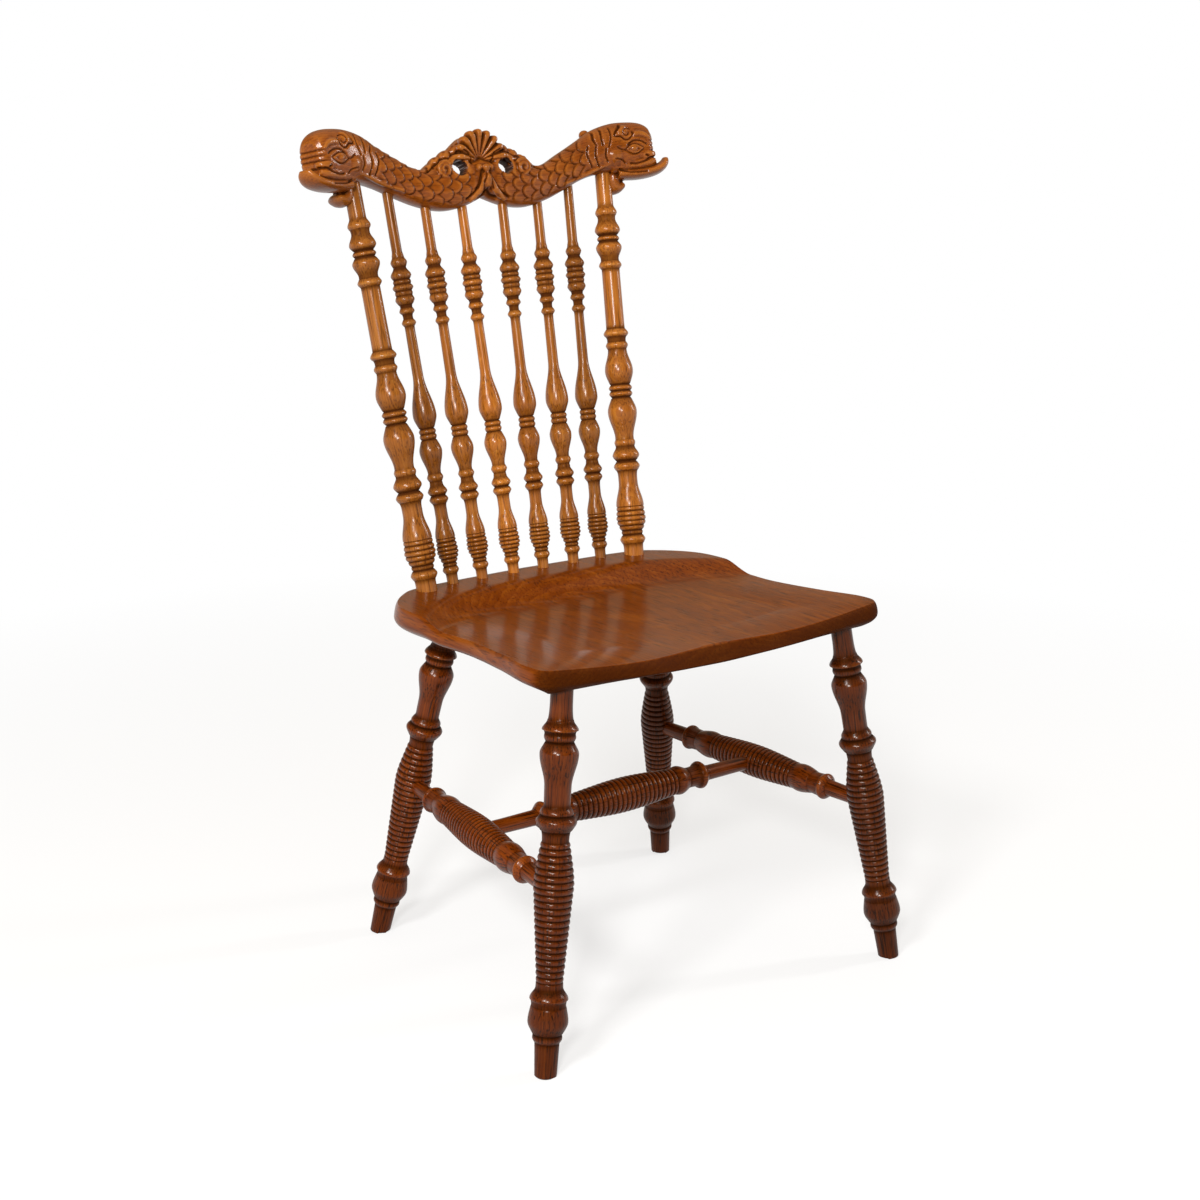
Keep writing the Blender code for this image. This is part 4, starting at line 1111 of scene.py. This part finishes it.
skin = masses.modifiers.new("fuse", "REMESH")
skin.mode = "VOXEL"
skin.voxel_size = FUSE_VOXEL
cut = masses.modifiers.new("pierce", "BOOLEAN")
cut.operation = "DIFFERENCE"
cut.object = piercings
graph = bpy.context.evaluated_depsgraph_get()
fused = bpy.data.meshes.new_from_object(masses.evaluated_get(graph))
for helper in (masses, piercings):
    bpy.data.objects.remove(helper, do_unlink=True)
bm = bmesh.new()
bm.from_mesh(fused)
for _ in range(2):
    bmesh.ops.smooth_vert(bm, verts=bm.verts, factor=0.5,
                          use_axis_x=True, use_axis_y=True, use_axis_z=True)
bm.to_mesh(fused)
bm.free()
print("fused crest:", len(fused.vertices), "vertices")

# %% [markdown]
# ## Scales, flutes and strokes
# The fine carving is shallow, so it is cut by moving each point of the skin a little way in or
# out along its normal. A scale is a round-ended tile that lies over its neighbour nearer the
# tail, the shell's flutes fan out from one point, and strokes are drawn as lines on the face
# of the rail. What is cut deep is also painted darker, as stain and as painted shade, so the
# same numbers give the patina and painted light.

# %% Where each point of the skin lies on the rail
def skin_vectors(field):
    """The places or normals of all points of the skin."""
    values = np.empty(len(fused.vertices) * 3)
    fused.vertices.foreach_get(field, values)
    return values.reshape(-1, 3)


def ramped(values, start, width):
    """0 at start, 1 a width further on, straight between them."""
    return np.clip((values - start) / width, 0.0, 1.0)


count = len(fused.vertices)
places, normals = skin_vectors("co"), skin_vectors("normal")
x, y, z = np.abs(places[:, 0]), places[:, 1], places[:, 2]
low, high, lean, depth = body_at(x)
middle = (low + high) / 2
up = np.clip(np.abs(z - middle) / ((high - low) / 2), 0.0, 0.98)
face = -lean - depth * (1 - up ** SQUARENESS) ** (1 / SQUARENESS)
faces_sitter = ramped(-normals[:, 1], 0.05, 0.35)
on_body = faces_sitter * (1 - ramped(np.abs(y - face), 0.0022, 0.0015))
print("points on the fish bodies:", int(on_body.sum()))

# %% Cut the scales and the shell's flutes
SCALE_PITCH, SCALE_WIDTH = 0.014, 0.0165
SCALE_LENGTH, SCALE_HALF_WIDTH, SCALE_EDGE, SCALE_BEVEL = 1.28, 0.6, 0.79, 0.21
TAIL_MIDDLE = 0.016  # height of the body's middle at x = 0
SCALE_LIFT, SCALE_CUT = 0.0016, 0.0021
FLUTE_LIFT, FLUTE_CUT = 0.0008, 0.0024


def within(values, start, end, soft):
    """1 between start and end, with soft ends."""
    return ramped(values, start, soft) * ramped(values, end, -soft)


def fish_scales():
    """(raise, outline) of overlapping scales whose free ends point to the tail."""
    centre = (body_table[:, 1] + body_table[:, 2]) / 2
    run = np.cumsum(np.hypot(np.diff(body_table[:, 0], prepend=0.0),
                             np.diff(centre, prepend=TAIL_MIDDLE)))
    along = -np.interp(x, body_table[:, 0], run) / SCALE_PITCH
    across = (z - middle) * 0.96 / SCALE_WIDTH
    found = np.full(count, np.inf)
    lift, edge = np.zeros(count), np.zeros(count)
    for step in (-2, -1, 0, 1):
        column = np.floor(along) + step
        shifted = across - 0.5 * np.mod(column, 2)
        beside = shifted - np.round(shifted)
        ahead = along - column
        reach = np.hypot(ahead / SCALE_LENGTH, beside / SCALE_HALF_WIDTH)
        covers = (reach < 1.0) & (ahead > -0.2) & (column < found)
        found = np.where(covers, column, found)
        lift = np.where(covers, ahead / SCALE_LENGTH, lift)
        edge = np.where(covers, reach, edge)
    return lift, ramped(edge, SCALE_EDGE, SCALE_BEVEL)


lift, scale_edge = fish_scales()
scaled = on_body * within(x, 0.013, 0.156, 0.006) * ramped(z - low, 0.004, 0.004)
move = scaled * (SCALE_LIFT * lift - SCALE_CUT * scale_edge ** 2)
cut_depth = scaled * scale_edge

fan_out = np.hypot(x - SHELL_BASE.x, z - SHELL_BASE.y)
fan_turn = np.degrees(np.arctan2(x - SHELL_BASE.x, z - SHELL_BASE.y)) / FLUTE_STEP
fluted = faces_sitter * within(fan_out, 0.005, 0.041, 0.004) * (y > -0.0175)
fluted *= ramped(fan_turn, SIDE_FLUTES + 0.5, -0.2)
valley = (2 * np.abs(fan_turn - np.round(fan_turn))) ** 2
move += fluted * (FLUTE_LIFT - FLUTE_CUT * valley)
cut_depth = np.maximum(cut_depth, fluted * np.clip(valley * 1.3 - 0.3, 0.0, 1.0))
print("deepest so far:", round(float(-move.min()) * 1000, 2), "mm")

# %% Cut the strokes of the head and leaves
# Points of a stroke, its half width, its depth
STROKES = metres((
    # gills
    (((158, 48), (155.5, 38.5), (158, 30), (162, 21.5)), 1, 2.2),
    (((168.5, 47), (166.5, 37), (168.5, 28.5), (172, 21)), 1, 2.2),
    (((181, 43.5), (180, 34), (183, 26.5)), 1, 1.8),
    # nape
    (((169, 66), (166.2, 57), (169, 49)), 1, 2.2),
    (((179, 69), (177, 57), (177.5, 48)), 1, 2.2),
    (((190, 70), (189, 58), (185, 45)), 0.9, 1.8),
    # ear
    (((205.5, 73.5), (198.5, 66.5), (194.5, 59), (202, 57.5), (206.5, 53.5), (211.5, 53),
      (216.5, 57), (218.5, 62.5)), 1, 2.4),
    (((217, 67), (212, 68.5), (206.5, 65.5), (206, 60.5), (210.5, 58.5), (213.5, 61.5)), 0.8, 1.4),
    # under the brow
    (((210, 46), (218, 50.8), (228, 50), (236, 45.5)), 1, 2.2),
    # mouth and nostril
    (((213.5, 22), (222.5, 21.6), (232, 24), (240, 27.2), (254, 28.5)), 1.2, 2.4),
    (((233.5, 31.2), (236.5, 29.2)), 1.3, 2.8),
    # eyelids
    (((206, 40), (212.5, 45.8), (220.5, 46.8), (231, 41.5)), 0.8, 1.4),
    (((206, 39), (214.5, 33.8), (222, 33.6), (231, 39.5)), 0.8, 1.1),
    # jaw, cheek and corner of the eye
    (((200, 15.5), (213, 11), (232, 10)), 1.2, 2),
    (((192, 29), (202, 26.6), (206, 23)), 0.9, 1.4),
    (((196, 44), (201, 40.5), (206, 39.5)), 0.9, 1.4),
    # leaves
    (((15, 33), (18, 45), (27, 50)), 1, 1.8),
    (((30, 47), (42, 46), (50, 40)), 1, 1.8),
    (((49, 41), (60, 40), (70, 33)), 1, 1.8),
    (((69, 35), (74, 29), (83, 24)), 1, 1.8),
    # tails
    (((7, 20), (12, 8), (19, -2), (32, -12)), 1, 2.2),
    (((2, 20), (5.5, 10), (7, 0)), 0.9, 1.8),
    (((0, -1), (6, -7.5), (14, -11)), 2.2, 3),
))
WRINKLES, WRINKLE_WIDTH, WRINKLE_CUT = (0.0372, 0.0435, 0.0495), 0.001, 0.0013
FULL_STAIN_AND_SHADE = 0.0018


def distance_to(points):
    """Distance of every point of the skin from a line drawn on the face."""
    line = curve_through(points, 6)
    best = np.full(count, np.inf)
    for a, b in zip(line, line[1:]):
        span = b - a
        t = np.clip(((x - a.x) * span.x + (z - a.y) * span.y) / span.length_squared, 0.0, 1.0)
        best = np.minimum(best, np.hypot(x - a.x - t * span.x, z - a.y - t * span.y))
    return best


front = faces_sitter * ramped(y, 0.004, -0.004)
grooves = [(np.exp(-(distance_to(points) / width) ** 2) * front, cut) for points, width, cut in STROKES]
snout = ramped(x, 0.238, 0.005) * ramped(y, 0.004, -0.01)
grooves += [(np.exp(-((z - height) / WRINKLE_WIDTH) ** 2) * snout, WRINKLE_CUT) for height in WRINKLES]
for groove, cut in grooves:
    move -= cut * groove
    cut_depth = np.maximum(cut_depth, groove * min(cut / FULL_STAIN_AND_SHADE, 1.0))
print("strokes:", len(grooves), "deepest cut:", round(float(-move.min()) * 1000, 2), "mm")

# %% Stain and painted shade in the hollows
HOLLOW_ROUNDS, HOLLOW_DEPTH = 14, 0.0016

# The walls of the piercings are painted dark: stain and painted shade inside the holes.
to_hole_x, to_hole_z = PIERCING.x - x, PIERCING.y - z
inward = to_hole_x * normals[:, 0] * np.sign(places[:, 0]) + to_hole_z * normals[:, 2]
from_hole = np.hypot(to_hole_x, to_hole_z)
hole_wall = (inward > 0.6 * from_hole) & (from_hole < 0.026) & (y > -0.014) & (y < 0.022)
cut_depth = np.maximum(cut_depth, hole_wall)

edges = np.empty(len(fused.edges) * 2, dtype=np.int64)
fused.edges.foreach_get("vertices", edges)
one_end, other_end = edges.reshape(-1, 2).T
links = np.bincount(edges, minlength=count).clip(1)


def neighbours_mean(values):
    """Each point's average of the points that it shares an edge with."""
    columns = [np.bincount(one_end, column[other_end], count)
               + np.bincount(other_end, column[one_end], count)
               for column in values.T]
    return np.stack(columns, axis=1) / links[:, None]


carved = places + normals * move[:, None]
smoothed = carved
for _ in range(HOLLOW_ROUNDS):
    smoothed = neighbours_mean(smoothed)
proud = ((carved - smoothed) * normals).sum(axis=1)
# Points below their smoothed neighbours and deep cuts are painted darker, as stain and painted shade;
# proud points lighter, as wear.
patina_and_painted_light = np.clip(0.5 + proud / HOLLOW_DEPTH, 0.06, 0.92)
patina_and_painted_light = np.minimum(patina_and_painted_light, 0.5 - 0.5 * np.clip(cut_depth, 0.0, 1.0) + 0.5 * (cut_depth < 0.05))
print("stained share of the crest:", round(float((patina_and_painted_light < 0.3).mean()), 2))

# %% Put the rail in its place
CREST_HEART = (0.045, -0.02, 3.1)

grain = carved[:, (1, 2, 0)] + CREST_HEART
fused.vertices.foreach_set("co", carved.ravel())
for name, kind, field, values in (
    ("patina_and_painted_light", "FLOAT", "value", patina_and_painted_light),
    ("tone", "FLOAT", "value", np.ones(count)),
    ("grain", "FLOAT_VECTOR", "vector", grain),
):
    layer = fused.attributes.new(name, kind, "POINT")
    layer.data.foreach_set(field, values.astype(np.float32).ravel())
rake = math.atan2(SPINDLE_HEAD_Y - SPINDLE_FOOT_Y, CREST_HEIGHT - board_top(SPINDLE_FOOT_Y))
fused.transform(Matrix.Translation((0.0, SPINDLE_HEAD_Y, CREST_HEIGHT)) @ Matrix.Rotation(-rake, 4, "X"))
fused.name = "crest_carved"
fused.shade_smooth()
keep_piece("crest_carved", fused, carved_oak, "crest_rail")
print("crest triangles:", sum(len(p.vertices) - 2 for p in fused.polygons))
